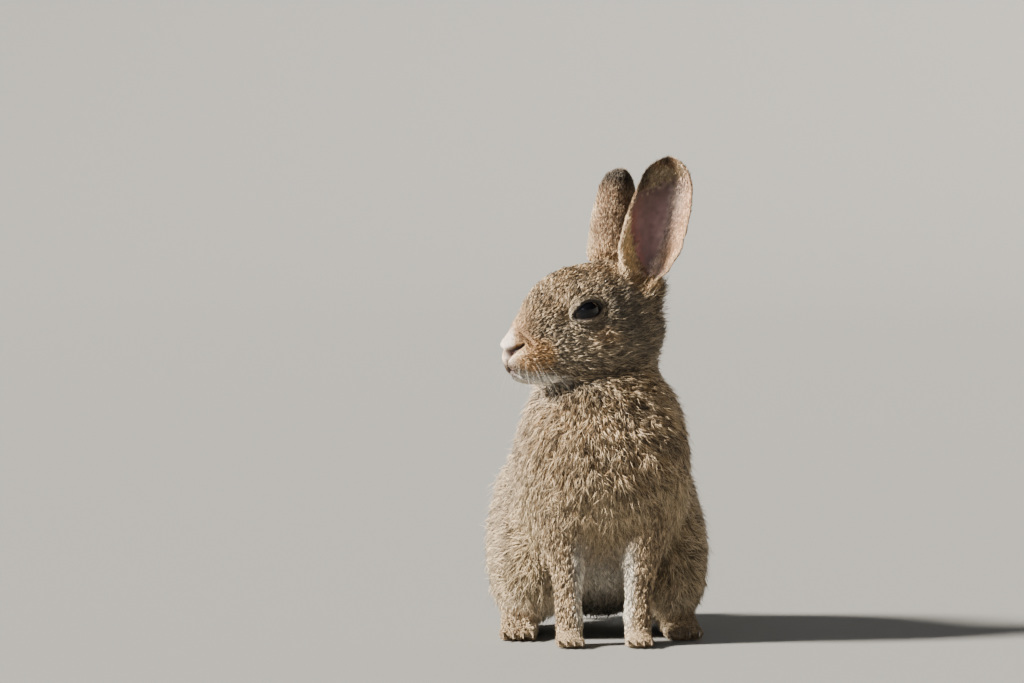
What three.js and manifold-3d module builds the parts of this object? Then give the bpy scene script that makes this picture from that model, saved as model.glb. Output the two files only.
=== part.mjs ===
// Young wild rabbit (Oryctolagus cuniculus), about six weeks old, life size, sitting half upright.
// Millimetres, +Z up. The chest faces -Y and the head is turned to the animal's right, towards -X.
// Every outline runs out to the tips of the coat. The parts meet with a narrow gap, and the paws
// and the tail are cut flat where they rest on the ground.

import * as THREE from 'three';
import { mergeVertices } from 'three/addons/utils/BufferGeometryUtils.js';
import Module from 'manifold-3d';

const wasm = await Module();
wasm.setup();

// ---- Driving dimensions ----

const GAP = 0.3; // between neighbouring parts
const HEAD_TURN = THREE.MathUtils.degToRad(-66); // about the neck, to the animal's right
const BODY_YAW = THREE.MathUtils.degToRad(2); // hindquarters swing slightly to the animal's right
const BODY_OFFSET = 1.5; // of the spine from the neck's turning axis
const ROUNDNESS = 2.2; // exponent of a ring's superellipse, 2 is an ellipse
const TRUNK_ROUNDNESS = 2.6; // the trunk's rings are fuller

const EYE_RADIUS = 8;
const EYE_CENTRE = { side: 10.2, front: 11.8, height: 140.3 };

const EAR_THICKNESS = 2.3;
const EAR_SEGMENTS = 8; // across an ear, from rim to rim
const EAR_RINGS = 14;

const FORELEG_SPREAD = 14.5; // paw centre from the midline
const FORE_TOE_TIP = -24; // along Y
const HEEL_SPREAD = 32;
const HIND_TOE_TIP = 10.5; // along Y
const HIND_TOE_OUT = 0.04; // sideways for each millimetre forward
const TOE_ARC = 0.7; // how far the outer toes stay behind the middle ones
const THIGH_SPREAD = 28.5;
const THIGH_FULLNESS = 0.22; // fuller below than above
const CLAW = {
  fore: { length: 4.6, radius: 0.85, height: 2.9 },
  hind: { length: 6, radius: 1.05, height: 3.2 },
};

const COLOURS = {
  coat: '#a89274',
  pale: '#d9c9ae',
  earSkin: '#b08878',
  eye: '#160e0a',
  claw: '#4a3d33',
};

const LEFT = 1;
const RIGHT = -1;
const ACROSS = new THREE.Vector3(1, 0, 0);

// ---- Solids ----

/** Closed geometry from vertices and faces, turned so that its faces point out. */
function closedGeometry(points, faces) {
  const position = new Float32Array(points.flatMap((point) => [point.x, point.y, point.z]));
  let volume = 0;
  const cross = new THREE.Vector3();
  for (const [a, b, c] of faces) volume += cross.crossVectors(points[b], points[c]).dot(points[a]);
  const outward = volume > 0 ? faces : faces.map(([a, b, c]) => [a, c, b]);
  const geometry = new THREE.BufferGeometry();
  geometry.setAttribute('position', new THREE.BufferAttribute(position, 3));
  geometry.setIndex(outward.flat());
  return geometry;
}

/** Faces that join ring after ring of `sides` points. */
function tubeFaces(rings, sides) {
  const faces = [];
  for (let ring = 0; ring < rings - 1; ring += 1) {
    for (let side = 0; side < sides; side += 1) {
      const here = ring * sides + side;
      const next = ring * sides + ((side + 1) % sides);
      faces.push([here, next, here + sides], [next, next + sides, here + sides]);
    }
  }
  return faces;
}

/** Point on a unit superellipse. */
function ringPoint(angle, roundness) {
  const shape = (value) => Math.sign(value) * Math.abs(value) ** (2 / roundness);
  return [shape(Math.cos(angle)), shape(Math.sin(angle))];
}

/**
 * Closed loft through stations. A station is { low, high, wide, pear }: the two ends of a ring's
 * middle line, half its width, and how much fuller it is near `low` than near `high`.
 */
function loft(stations, { rings, sides, grow = 0, across = ACROSS, roundness = ROUNDNESS }) {
  const lowLine = new THREE.CatmullRomCurve3(stations.map((station) => station.low));
  const highLine = new THREE.CatmullRomCurve3(stations.map((station) => station.high));
  const widths = new THREE.CatmullRomCurve3(
    stations.map((station) => new THREE.Vector3(station.wide, station.pear ?? 0, 0)),
  );
  const points = [];
  const centres = [];
  for (let ring = 0; ring < rings; ring += 1) {
    const t = ring / (rings - 1);
    const low = lowLine.getPoint(t);
    const high = highLine.getPoint(t);
    const { x: wide, y: pear } = widths.getPoint(t);
    const centre = low.clone().add(high).multiplyScalar(0.5);
    const rise = high.clone().sub(centre);
    rise.setLength(rise.length() + grow);
    centres.push(centre);
    for (let side = 0; side < sides; side += 1) {
      const [c, s] = ringPoint((2 * Math.PI * (side + 0.5)) / sides, roundness);
      const reach = (wide + grow) * (1 - pear * s) * c;
      points.push(centre.clone().addScaledVector(across, reach).addScaledVector(rise, s));
    }
  }
  const faces = tubeFaces(rings, sides);
  for (const [ring, inner] of [[0, 1], [rings - 1, rings - 2]]) {
    const outward = centres[ring].clone().sub(centres[inner]).setLength(grow);
    const pole = points.push(centres[ring].clone().add(outward)) - 1;
    for (let side = 0; side < sides; side += 1) {
      const here = ring * sides + side;
      const next = ring * sides + ((side + 1) % sides);
      faces.push(ring === 0 ? [pole, next, here] : [pole, here, next]);
    }
  }
  return closedGeometry(points, faces);
}

/** Ellipsoid of the given half sizes about a centre. */
function ellipsoid(centre, half, [across, down]) {
  return new THREE.SphereGeometry(1, across, down).scale(...half).translate(...centre);
}

function solidOf(geometry) {
  const bare = geometry.clone();
  bare.deleteAttribute('normal');
  bare.deleteAttribute('uv');
  const merged = mergeVertices(bare, 1e-4);
  return new wasm.Manifold(
    new wasm.Mesh({
      numProp: 3,
      vertProperties: merged.attributes.position.array,
      triVerts: merged.index.array,
    }),
  );
}

function geometryOf(solid) {
  const { vertProperties, triVerts } = solid.getMesh();
  const geometry = new THREE.BufferGeometry();
  geometry.setAttribute('position', new THREE.BufferAttribute(vertProperties, 3));
  geometry.setIndex(new THREE.BufferAttribute(triVerts, 1));
  return geometry;
}

/** One geometry joined from `base` and `added`, less each of `removed`. */
function shaped(base, { added = [], removed = [] }) {
  let solid = solidOf(base);
  for (const geometry of added) solid = solid.add(solidOf(geometry));
  for (const geometry of removed) solid = solid.subtract(solidOf(geometry));
  const pieces = solid.decompose().sort((a, b) => b.volume() - a.volume());
  return geometryOf(pieces[0]);
}

/** Copy of a geometry of one group, as it lies in another. */
function seenFrom(geometry, owner, viewer) {
  owner.updateMatrix();
  viewer.updateMatrix();
  return geometry.clone().applyMatrix4(viewer.matrix.clone().invert().multiply(owner.matrix));
}

const GROUND = new THREE.BoxGeometry(400, 400, 40).translate(0, 0, -20);

const rabbit = new THREE.Group();
const headGroup = new THREE.Group();
const bodyGroup = new THREE.Group();
rabbit.add(headGroup, bodyGroup);
headGroup.rotation.z = HEAD_TURN;
bodyGroup.rotation.z = BODY_YAW;
bodyGroup.position.x = BODY_OFFSET;

function addPart(group, name, geometry, colour, roughness = 0.95) {
  const material = new THREE.MeshStandardMaterial({ color: colour, roughness, metalness: 0 });
  const mesh = new THREE.Mesh(geometry, material);
  mesh.name = name;
  group.add(mesh);
}

const sideName = (side) => (side === LEFT ? 'left' : 'right');

/** Station of a loft that runs along the body: low and high points are [y, z], on the line `x`. */
function station(low, high, wide, { x = 0, pear = 0 } = {}) {
  return {
    low: new THREE.Vector3(x, ...low),
    high: new THREE.Vector3(x, ...high),
    wide,
    pear,
  };
}

// ---- Head, in a frame where it looks along -Y ----

/** Head from occiput to nose; each station is upright. */
function headLoft(grow) {
  const stations = [
    station([26, 130], [26, 139], 5),
    station([24, 122], [24, 148], 11.5),
    station([19, 114], [19, 155], 15.8, { pear: 0.05 }),
    station([11, 108.5], [11, 160.3], 18.5, { pear: 0.1 }),
    station([1, 106.8], [1, 161.6], 19.6, { pear: 0.15 }),
    station([-9, 107], [-9, 160.4], 18.6, { pear: 0.16 }),
    station([-17, 107.8], [-17, 159.0], 16.6, { pear: 0.15 }),
    station([-24, 108.6], [-24, 155.9], 14.2, { pear: 0.14 }),
    station([-30.5, 109.4], [-30.5, 150.8], 12, { pear: 0.16 }),
    station([-35.5, 110.4], [-35.5, 143.2], 10.3, { pear: 0.18 }),
    station([-39.8, 112.6], [-39.8, 135.6], 9, { pear: 0.15 }),
    station([-42.4, 116.6], [-42.4, 131.2], 7, { pear: 0.05 }),
    station([-44.4, 121.4], [-44.4, 128], 3.6),
  ];
  return loft(stations, { rings: 21, sides: 18, grow });
}

/**
 * One upright ear: a long curved shell, furled into a tube at its root and open towards `face`.
 * A station is [height share, half width, depth from back to rim].
 */
function earShell({ root, bow, tip, face, stations }) {
  const axis = new THREE.QuadraticBezierCurve3(root, bow, tip);
  const shape = new THREE.CatmullRomCurve3(stations.map((row) => new THREE.Vector3(...row)));
  const points = [];
  const columns = EAR_SEGMENTS + 1;
  for (let ring = 0; ring < EAR_RINGS; ring += 1) {
    const { x: share, y: half, z: depth } = shape.getPoint(ring / (EAR_RINGS - 1));
    const radius = (half * half + depth * depth) / (2 * depth);
    const wrap = Math.acos((radius - depth) / radius);
    const centre = axis.getPoint(Math.min(share, 1));
    const tangent = axis.getTangent(Math.min(share, 1));
    const across = new THREE.Vector3().crossVectors(tangent, face).normalize();
    const open = new THREE.Vector3().crossVectors(across, tangent).normalize();
    const arcPoint = (angle, inset) =>
      centre
        .clone()
        .addScaledVector(open, radius - depth / 2 - (radius - inset) * Math.cos(angle))
        .addScaledVector(across, (radius - inset) * Math.sin(angle));
    const angles = Array.from({ length: columns }, (_, i) => wrap * ((2 * i) / EAR_SEGMENTS - 1));
    const thickness = Math.min(EAR_THICKNESS, radius * 0.5);
    for (const angle of angles) points.push(arcPoint(angle, 0));
    for (const angle of angles.toReversed()) {
      points.push(arcPoint(angle, thickness * (1 - 0.3 * (angle / wrap) ** 2)));
    }
  }
  const sides = 2 * columns;
  const faces = tubeFaces(EAR_RINGS, sides);
  for (const [start, flip] of [[0, true], [(EAR_RINGS - 1) * sides, false]]) {
    for (let column = 0; column < EAR_SEGMENTS; column += 1) {
      const outer = start + column;
      const inner = start + sides - 1 - column;
      const quad = [[outer, outer + 1, inner], [outer + 1, inner - 1, inner]];
      faces.push(...quad.map(([a, b, c]) => (flip ? [a, c, b] : [a, b, c])));
    }
  }
  return closedGeometry(points, faces);
}

const EAR_STATIONS = [
  [0, 2.6, 9],
  [0.11, 4.2, 11],
  [0.19, 9, 12.2],
  [0.28, 12.8, 11.8],
  [0.42, 13.5, 10.5],
  [0.58, 13.5, 9],
  [0.72, 13, 7.6],
  [0.85, 11.5, 6.2],
  [0.93, 8.9, 4.6],
  [0.98, 5.2, 2.9],
  [1, 2.2, 1.6],
];

const EARS = {
  left: {
    root: new THREE.Vector3(10, 12, 147),
    bow: new THREE.Vector3(13.5, 21, 176),
    tip: new THREE.Vector3(20, 24, 205.3),
    face: new THREE.Vector3(0.93, -0.36, 0),
    stations: EAR_STATIONS,
  },
  right: {
    root: new THREE.Vector3(-8.5, 10, 147),
    bow: new THREE.Vector3(-10.5, 15.5, 174),
    tip: new THREE.Vector3(-15.5, 18, 200),
    face: new THREE.Vector3(-0.93, -0.36, 0),
    stations: EAR_STATIONS,
  },
};

const eyeBall = (side, grow) => {
  const centre = [side * EYE_CENTRE.side, -EYE_CENTRE.front, EYE_CENTRE.height];
  const radius = EYE_RADIUS + grow;
  return ellipsoid(centre, [radius, radius, radius], [14, 8]);
};

const head = headLoft(0);
const headHollow = headLoft(GAP);

for (const side of [LEFT, RIGHT]) {
  const name = sideName(side);
  const ear = shaped(earShell(EARS[name]), { removed: [headHollow] });
  addPart(headGroup, `ear_${name}`, ear, COLOURS.earSkin);
  addPart(headGroup, `eye_${name}`, eyeBall(side, 0), COLOURS.eye, 0.1);
}
const sockets = [LEFT, RIGHT].map((side) => eyeBall(side, GAP));
addPart(headGroup, 'head', shaped(head, { removed: sockets }), COLOURS.coat);

// ---- Neck and trunk, in the body's frame, looking along -Y ----

/** Neck, from inside the head down into the shoulders. */
function neckLoft(grow) {
  const stations = [
    station([-8, 88], [14, 94], 13),
    station([-20, 95], [19, 103], 25.5),
    station([-22, 103], [21, 110], 28, { x: 0.5 }),
    station([-18.5, 111], [21, 117], 22.8, { x: 1 }),
    station([-14, 118], [20, 124], 21.5, { x: 1.5 }),
    station([-10, 126], [16, 131], 18, { x: 2 }),
    station([-4, 132], [8, 134], 9, { x: 2 }),
  ];
  return loft(stations, { rings: 9, sides: 18, grow });
}

/** Trunk, from the rump forward and up to the breast and withers. */
function trunkLoft() {
  const stations = [
    station([113, 16], [116, 30], 9),
    station([103, 7], [112, 53], 25),
    station([84, 5], [96, 76], 33),
    station([60, 9], [70, 92], 37),
    station([34, 18], [46, 101], 38),
    station([8, 32], [32, 107.5], 37.5),
    station([-16, 50], [23, 112.5], 35.5, { x: 0.5 }),
    station([-27, 74], [17, 116], 33, { x: 0.5 }),
    station([-23, 95], [14, 117.5], 27, { x: 0.5 }),
    station([-12, 105], [6, 116], 14, { x: 1 }),
  ];
  return loft(stations, { rings: 17, sides: 20, roundness: TRUNK_ROUNDNESS });
}

/** Thigh and shank, folded together at the side of the belly. */
function thighLoft(side, grow) {
  const at = (x) => ({ x: side * x, pear: THIGH_FULLNESS });
  const stations = [
    station([11, 26], [13, 38], 6, at(THIGH_SPREAD + 1)),
    station([16, 13], [22, 56], 13.5, at(THIGH_SPREAD + 1)),
    station([32, 7], [39, 72], 17, at(THIGH_SPREAD)),
    station([54, 6], [61, 82], 18, at(THIGH_SPREAD)),
    station([76, 7], [82, 77], 17, at(THIGH_SPREAD - 1)),
    station([94, 11], [97, 61], 13.5, at(THIGH_SPREAD - 3)),
    station([105, 22], [105, 40], 6, at(THIGH_SPREAD - 5)),
  ];
  return loft(stations, { rings: 11, sides: 14, grow });
}

/** Tail, carried up against the rump with its white underside turned back. */
function tailLoft(grow) {
  const stations = [
    station([103, 10], [103, 26], 7),
    station([113, 3], [112, 22], 9),
    station([122, -0.8], [115, 24], 10),
    station([130, 8], [114.5, 29], 10),
    station([132.5, 19], [115, 36], 9.5),
    station([131, 31], [118, 43], 7.5),
    station([127, 41], [121, 46], 4),
  ];
  return loft(stations, { rings: 10, sides: 10, grow });
}

// ---- Legs ----

/** Foreleg from the upper arm, covered by the breast's coat, straight down to the wrist. */
function forelegLoft(side, grow) {
  const at = (x) => ({ x: side * x });
  const stations = [
    station([-12, 74], [12, 80], 8, at(19.5)),
    station([-17, 63], [15, 70], 12, at(19)),
    station([-16.5, 50], [14, 56], 11.5, at(17.5)),
    station([-14, 37], [8.5, 41], 9, at(16)),
    station([-12.5, 25], [2.5, 27], 7, at(15)),
    station([-12, 14], [0, 15], 6.1, at(FORELEG_SPREAD)),
    station([-12.5, 6], [-1, 6], 5.8, at(FORELEG_SPREAD)),
    station([-11, 2], [-3, 2], 4, at(FORELEG_SPREAD)),
  ];
  return loft(stations, { rings: 11, sides: 12, grow });
}

/** Sole and back of a paw: a low loft that runs forward to the roots of the toes. */
function pawLoft(side, rows, spread, toeOut) {
  const stations = rows.map(([y, low, top, wide]) =>
    station([y, low], [y, top], wide, { x: side * (spread + toeOut * (rows[0][0] - y)) }),
  );
  return loft(stations, { rings: 7, sides: 8 });
}

/** Slightly hooked claw whose root lies at `root`, pointing forward and down. */
function clawCone({ root, length, radius, grow = 0 }) {
  const { x, y, z } = root;
  const row = (along, drop, size) => ({
    low: new THREE.Vector3(x, y - along * length, z - drop - size - grow),
    high: new THREE.Vector3(x, y - along * length, z - drop + size + grow),
    wide: size * 0.75 + grow,
  });
  const stations = [
    row(-grow / length, 0, radius),
    row(0.5, 0.25, radius * 0.8),
    row(1, radius * 1.35, 0.22),
  ];
  return loft(stations, { rings: 3, sides: 5 });
}

/** Toes of one foot: their ellipsoids and the places of their claws. */
function toes({ centre, tip, spacing, half, claw }) {
  const [, length, height] = half;
  return [-1.5, -0.5, 0.5, 1.5].map((place) => {
    const x = centre + place * spacing;
    const y = tip + length + TOE_ARC * place * place;
    return {
      pad: ellipsoid([x, y, height * 0.72], half, [6, 5]),
      claw: { ...claw, root: new THREE.Vector3(x, y - length * 0.72, claw.height) },
    };
  });
}

// Rows of a paw from heel to toes: [y, height of the sole, height of the back, half width].
const FORE_PAW_ROWS = [
  [1.5, 1, 5, 3.2],
  [-1.5, -0.8, 8.5, 5.4],
  [-8, -0.8, 9.4, 6.2],
  [-14, -0.8, 8, 6.5],
  [-18.5, 0.5, 5.5, 5],
];
const HIND_FOOT_ROWS = [
  [88, 4, 11, 3.5],
  [84, -0.8, 15.5, 6.4],
  [72, -0.8, 17, 7.4],
  [52, -0.8, 14.5, 7.6],
  [34, -0.8, 12, 8.2],
  [24, -0.8, 10, 8.4],
  [19, 0.6, 6.5, 7],
];
function addFoot(name, base, digits, removed) {
  const clawHoles = digits.map((digit) => clawCone({ ...digit.claw, grow: GAP }));
  const pads = digits.map((digit) => digit.pad);
  const foot = shaped(base, { added: pads, removed: [...clawHoles, ...removed, GROUND] });
  addPart(bodyGroup, name, foot, COLOURS.pale);
  digits.forEach((digit, i) => {
    const claw = shaped(clawCone(digit.claw), { removed: [GROUND] });
    addPart(bodyGroup, `${name}_claw_${i + 1}`, claw, COLOURS.claw, 0.5);
  });
}

for (const side of [LEFT, RIGHT]) {
  const name = sideName(side);

  const foreDigits = toes({
    centre: side * FORELEG_SPREAD,
    tip: FORE_TOE_TIP,
    spacing: 3.3,
    half: [2.1, 5, 3.2],
    claw: CLAW.fore,
  });
  const foreleg = forelegLoft(side, GAP);
  const paw = pawLoft(side, FORE_PAW_ROWS, FORELEG_SPREAD, 0);
  addFoot(`forepaw_${name}`, paw, foreDigits, [foreleg]);
  addPart(
    bodyGroup,
    `foreleg_${name}`,
    shaped(forelegLoft(side, 0), { removed: [GROUND] }),
    COLOURS.coat,
  );

  const heelToToe = HIND_FOOT_ROWS[0][0] - HIND_TOE_TIP;
  const hindDigits = toes({
    centre: side * (HEEL_SPREAD + HIND_TOE_OUT * heelToToe),
    tip: HIND_TOE_TIP,
    spacing: 4.2,
    half: [2.6, 6.5, 3.9],
    claw: CLAW.hind,
  });
  const sole = pawLoft(side, HIND_FOOT_ROWS, HEEL_SPREAD, HIND_TOE_OUT);
  addFoot(`hindfoot_${name}`, sole, hindDigits, [thighLoft(side, GAP)]);
  addPart(bodyGroup, `thigh_${name}`, thighLoft(side, 0), COLOURS.coat);
}

const tail = shaped(tailLoft(0), { removed: [GROUND] });
addPart(bodyGroup, 'tail', tail, COLOURS.pale);

const headInBody = seenFrom(headHollow, headGroup, bodyGroup);
const neck = shaped(neckLoft(0), { removed: [headInBody] });
addPart(bodyGroup, 'neck', neck, COLOURS.coat);

const trunk = shaped(trunkLoft(), {
  removed: [
    neckLoft(GAP),
    headInBody,
    tailLoft(GAP),
    ...[LEFT, RIGHT].flatMap((side) => [thighLoft(side, GAP), forelegLoft(side, GAP)]),
    GROUND,
  ],
});
addPart(bodyGroup, 'trunk', trunk, COLOURS.coat);

// ---- Origin at the bottom centre of the whole animal ----

rabbit.updateMatrixWorld(true);
const middle = new THREE.Box3().setFromObject(rabbit, true).getCenter(new THREE.Vector3());
const placed = new THREE.Group();
placed.add(rabbit);
rabbit.position.set(-middle.x, -middle.y, 0);
placed.updateMatrixWorld(true);

export default placed;
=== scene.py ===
"""Young wild rabbit, sitting half upright: one skin, its coat, eyes, claws and whiskers.

Every size is in millimetres until a mesh is made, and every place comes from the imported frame.
"""

import logging
import math
from collections.abc import Sequence
from dataclasses import dataclass, field
from enum import Enum, IntEnum

import bpy
import numpy as np
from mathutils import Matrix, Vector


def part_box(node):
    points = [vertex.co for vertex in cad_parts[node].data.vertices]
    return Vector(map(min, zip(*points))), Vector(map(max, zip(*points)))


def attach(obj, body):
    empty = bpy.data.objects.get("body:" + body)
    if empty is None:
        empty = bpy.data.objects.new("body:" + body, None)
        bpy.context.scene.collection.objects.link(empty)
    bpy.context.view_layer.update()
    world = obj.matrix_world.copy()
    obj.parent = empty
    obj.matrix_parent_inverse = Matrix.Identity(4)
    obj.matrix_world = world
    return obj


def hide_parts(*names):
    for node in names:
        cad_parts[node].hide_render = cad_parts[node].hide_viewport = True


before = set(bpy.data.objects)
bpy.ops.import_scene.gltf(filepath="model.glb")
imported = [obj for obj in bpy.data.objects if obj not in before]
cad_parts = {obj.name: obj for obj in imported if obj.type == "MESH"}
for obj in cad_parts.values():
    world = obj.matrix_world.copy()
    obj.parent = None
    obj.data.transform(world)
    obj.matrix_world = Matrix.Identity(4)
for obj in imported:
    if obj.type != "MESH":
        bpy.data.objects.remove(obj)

import openvdb
from mathutils import Vector
from mathutils.bvhtree import BVHTree
from mathutils.kdtree import KDTree

logger = logging.getLogger("rabbit")
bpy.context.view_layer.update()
MM = 0.001
BODY = "root"
SEED = 20
FAR = 99.0  # stands for any distance out of reach, in millimetres
Array = np.ndarray
Colour = tuple[float, float, float]
Place = tuple[float, float, float]
Draws = np.random.Generator
Material = bpy.types.Material
Object = bpy.types.Object
Socket = bpy.types.NodeSocket


# Numbers and vectors

def smoothstep(low: float, high: float, value: Array) -> Array:
    """Smooth rise from 0 at `low` to 1 at `high`, or fall where `low` is the larger."""
    share = np.clip((value - low) / (high - low), 0.0, 1.0)
    return share * share * (3.0 - 2.0 * share)


def bump(distance: Array, width: float) -> Array:
    """Bell of height 1 about distance 0."""
    return np.exp(-((distance / width) ** 2))


def unit(vectors: Array) -> Array:
    """Rows scaled to length 1."""
    return vectors / np.maximum(np.linalg.norm(vectors, axis=-1, keepdims=True), 1e-9)


def lengths(vectors: Array) -> Array:
    """Length of each row."""
    return np.linalg.norm(vectors, axis=1)


def row_dot(first: Array, second: Array) -> Array:
    """Dot product of each pair of rows."""
    return np.einsum("ij,ij->i", first, second)


def blend(first: Array, second: Array, share: Array) -> Array:
    """Rows of `first` moved towards `second` by each row's share."""
    return first + (second - first) * np.asarray(share)[:, None]


def linear(red: float, green: float, blue: float) -> Array:
    """Display colour, 0 to 255, as linear light."""
    value = np.array([red, green, blue]) / 255.0
    return np.where(value <= 0.04045, value / 12.92, ((value + 0.055) / 1.055) ** 2.4)


def line_distance(points: Array, line: Sequence[Sequence[float]]) -> tuple[Array, Array]:
    """Distance from points to a bent line.

    Args:
        points: Places, one a row.
        line: Corners of the line.

    Returns:
        The distance of each point, and how far along the line its nearest place is, 0 to 1.
    """
    corners = np.asarray(line, dtype=float)
    best = np.full(len(points), np.inf)
    along = np.zeros(len(points))
    pieces = len(corners) - 1
    for index in range(pieces):
        start, step = corners[index], corners[index + 1] - corners[index]
        share = np.clip((points - start) @ step / (step @ step), 0.0, 1.0)
        distance = lengths(points - start - share[:, None] * step)
        nearer = distance < best
        best = np.where(nearer, distance, best)
        along = np.where(nearer, (index + share) / pieces, along)
    return best, along


def ripple(points: Array, wavelength: float, seed: int) -> Array:
    """Smooth irregular field, about -1 to 1: a sum of plane waves.

    Args:
        points: Places, one a row.
        wavelength: Usual distance between crests.
        seed: Picks the field.

    Returns:
        One number for each point.
    """
    waves = 7
    rng = np.random.default_rng(seed)
    directions = unit(rng.normal(size=(waves, 3))) * rng.uniform(0.7, 1.4, (waves, 1))
    phases = rng.uniform(0, 2 * math.pi, waves)
    total = np.sin(points @ directions.T * (2 * math.pi / wavelength) + phases).sum(axis=1)
    return total / math.sqrt(waves)


class Side(IntEnum):
    """Side of the animal, as the sign of its place across."""

    LEFT = 1
    RIGHT = -1
    BOTH = 0

    @classmethod
    def pair(cls) -> tuple["Side", "Side"]:
        """The left side and the right."""
        return cls.LEFT, cls.RIGHT

    def of(self, part: str) -> str:
        """Name of a part on this side."""
        return f"{part}_{self.name.lower()}"


@dataclass(frozen=True)
class HeadFrame:
    """Place and directions of the head: across to its left, forward to its nose, and up."""

    origin: Array
    left: Array
    front: Array
    up: Array

    @classmethod
    def between(cls, left_eye: Array, right_eye: Array) -> "HeadFrame":
        """Frame midway between the two eyes.

        Args:
            left_eye: Middle of the left eyeball.
            right_eye: Middle of the right eyeball.

        Returns:
            The head's frame.
        """
        left = unit(left_eye - right_eye)
        up = np.array([0.0, 0.0, 1.0])
        return cls((left_eye + right_eye) / 2, left, np.cross(left, up), up)

    def axes(self) -> Array:
        """Directions as rows: left, front, up."""
        return np.stack([self.left, self.front, self.up])

    def local(self, points: Array) -> Array:
        """Points as (left, front, up) from the middle between the eyes."""
        return (points - self.origin) @ self.axes().T

    def turned(self, local: Array) -> Array:
        """Directions given as (left, front, up), in the model's frame."""
        return np.asarray(local, dtype=float) @ self.axes()

    def world(self, local: Array) -> Array:
        """Places given as (left, front, up), in the model's frame."""
        return self.origin + self.turned(local)

    def folded(self, points: Array) -> Array:
        """Points as (side, front, up), where both sides count alike.

        Args:
            points: Places, one a row.

        Returns:
            Their places on the head's left half.
        """
        local = self.local(points)
        local[:, 0] = np.abs(local[:, 0])
        return local


# Meshes

@dataclass
class TriangleMesh:
    """Points and triangles in millimetres."""

    points: Array
    faces: Array

    def edges(self) -> Array:
        """Each edge once, as two point numbers in rising order."""
        pairs = np.concatenate([self.faces[:, [0, 1]], self.faces[:, [1, 2]], self.faces[:, [2, 0]]])
        return np.unique(np.sort(pairs, axis=1), axis=0)

    def face_vectors(self) -> Array:
        """Face normals, each as long as twice the face's area."""
        a, b, c = (self.points[self.faces[:, i]] for i in range(3))
        return np.cross(b - a, c - a)

    def normals(self) -> Array:
        """Unit normal at each point.

        Returns:
            One row for each point.
        """
        vectors = self.face_vectors()
        total = np.zeros_like(self.points)
        for corner in range(3):
            for axis in range(3):
                total[:, axis] += np.bincount(
                    self.faces[:, corner], weights=vectors[:, axis], minlength=len(self.points)
                )
        return unit(total)

    def diffused(
        self, values: Array, steps: int, rate: Array | float = 0.8, rebound: Array | float = 0.0
    ) -> Array:
        """Values spread over the surface.

        Args:
            values: One row for each point.
            steps: Number of averaging steps.
            rate: Share of the way to the neighbours' mean in each step, one number or one a point.
            rebound: Share of each second step that goes back, which keeps thin parts their size.

        Returns:
            The spread values.
        """
        edges = self.edges()
        first, second = edges[:, 0], edges[:, 1]
        count = len(self.points)
        degree = np.bincount(edges.ravel(), minlength=count).astype(float)
        spread = np.array(values, dtype=float).reshape(count, -1)
        ahead = np.broadcast_to(np.asarray(rate, dtype=float), (count,))
        back = -np.broadcast_to(np.asarray(rebound, dtype=float), (count,))
        for step in range(steps):
            pull = back if step % 2 and np.any(back) else ahead
            for column in range(spread.shape[1]):
                value = spread[:, column]
                total = np.bincount(first, weights=value[second], minlength=count)
                total += np.bincount(second, weights=value[first], minlength=count)
                spread[:, column] = value + pull * (total / degree - value)
        return spread.reshape(np.shape(values))

    def refined(self, chosen: Array) -> "TriangleMesh":
        """Mesh with each edge halved whose two ends are chosen.

        Args:
            chosen: True at each point of the area to refine.

        Returns:
            The finer mesh; the old points keep their numbers.
        """
        edges = self.edges()
        split = chosen[edges[:, 0]] & chosen[edges[:, 1]]
        halved = edges[split]
        middle = len(self.points) + np.arange(len(halved))
        points = np.concatenate([self.points, self.points[halved].mean(axis=1)])
        span = len(self.points) + 1
        keys = halved[:, 0] * span + halved[:, 1]
        corners = self.faces
        found = []
        for one, two in ((0, 1), (1, 2), (2, 0)):
            pair = np.sort(corners[:, [one, two]], axis=1)
            key = pair[:, 0] * span + pair[:, 1]
            place = np.clip(np.searchsorted(keys, key), 0, max(len(keys) - 1, 0))
            hit = keys[place] == key
            found.append(np.where(hit, middle[place], -1))
        marks = np.stack(found, axis=1)
        number = (marks >= 0).sum(axis=1)
        whole = corners[number == 0]
        a, b, c = corners[number == 3].T
        ab, bc, ca = marks[number == 3].T
        quarters = [
            np.stack(row, axis=1) for row in ((a, ab, ca), (b, bc, ab), (c, ca, bc), (ab, bc, ca))
        ]
        halves = []
        for turn in range(3):
            pick = (number == 1) & (marks[:, turn] >= 0)
            one, two, three = (corners[pick][:, (turn + i) % 3] for i in range(3))
            mid = marks[pick][:, turn]
            halves.append(np.stack([one, mid, three], axis=1))
            halves.append(np.stack([mid, two, three], axis=1))
        return TriangleMesh(points, np.concatenate([whole, *quarters, *halves]))

    def tree(self) -> BVHTree:
        """Search tree over the faces."""
        return BVHTree.FromPolygons(self.points.tolist(), self.faces.tolist())

    def object(self, name: str) -> Object:
        """Linked Blender object of this mesh, shaded smooth.

        Args:
            name: Name of the object.

        Returns:
            The new object.
        """
        mesh = bpy.data.meshes.new(name)
        mesh.vertices.add(len(self.points))
        mesh.vertices.foreach_set("co", (self.points * MM).astype(np.float32).ravel())
        mesh.loops.add(self.faces.size)
        mesh.loops.foreach_set("vertex_index", self.faces.astype(np.int32).ravel())
        mesh.polygons.add(len(self.faces))
        starts = np.arange(0, self.faces.size, 3, dtype=np.int32)
        mesh.polygons.foreach_set("loop_start", starts)
        mesh.update(calc_edges=True)
        mesh.polygons.foreach_set("use_smooth", np.ones(len(self.faces), dtype=bool))
        made = bpy.data.objects.new(name, mesh)
        bpy.context.scene.collection.objects.link(made)
        return made


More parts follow.
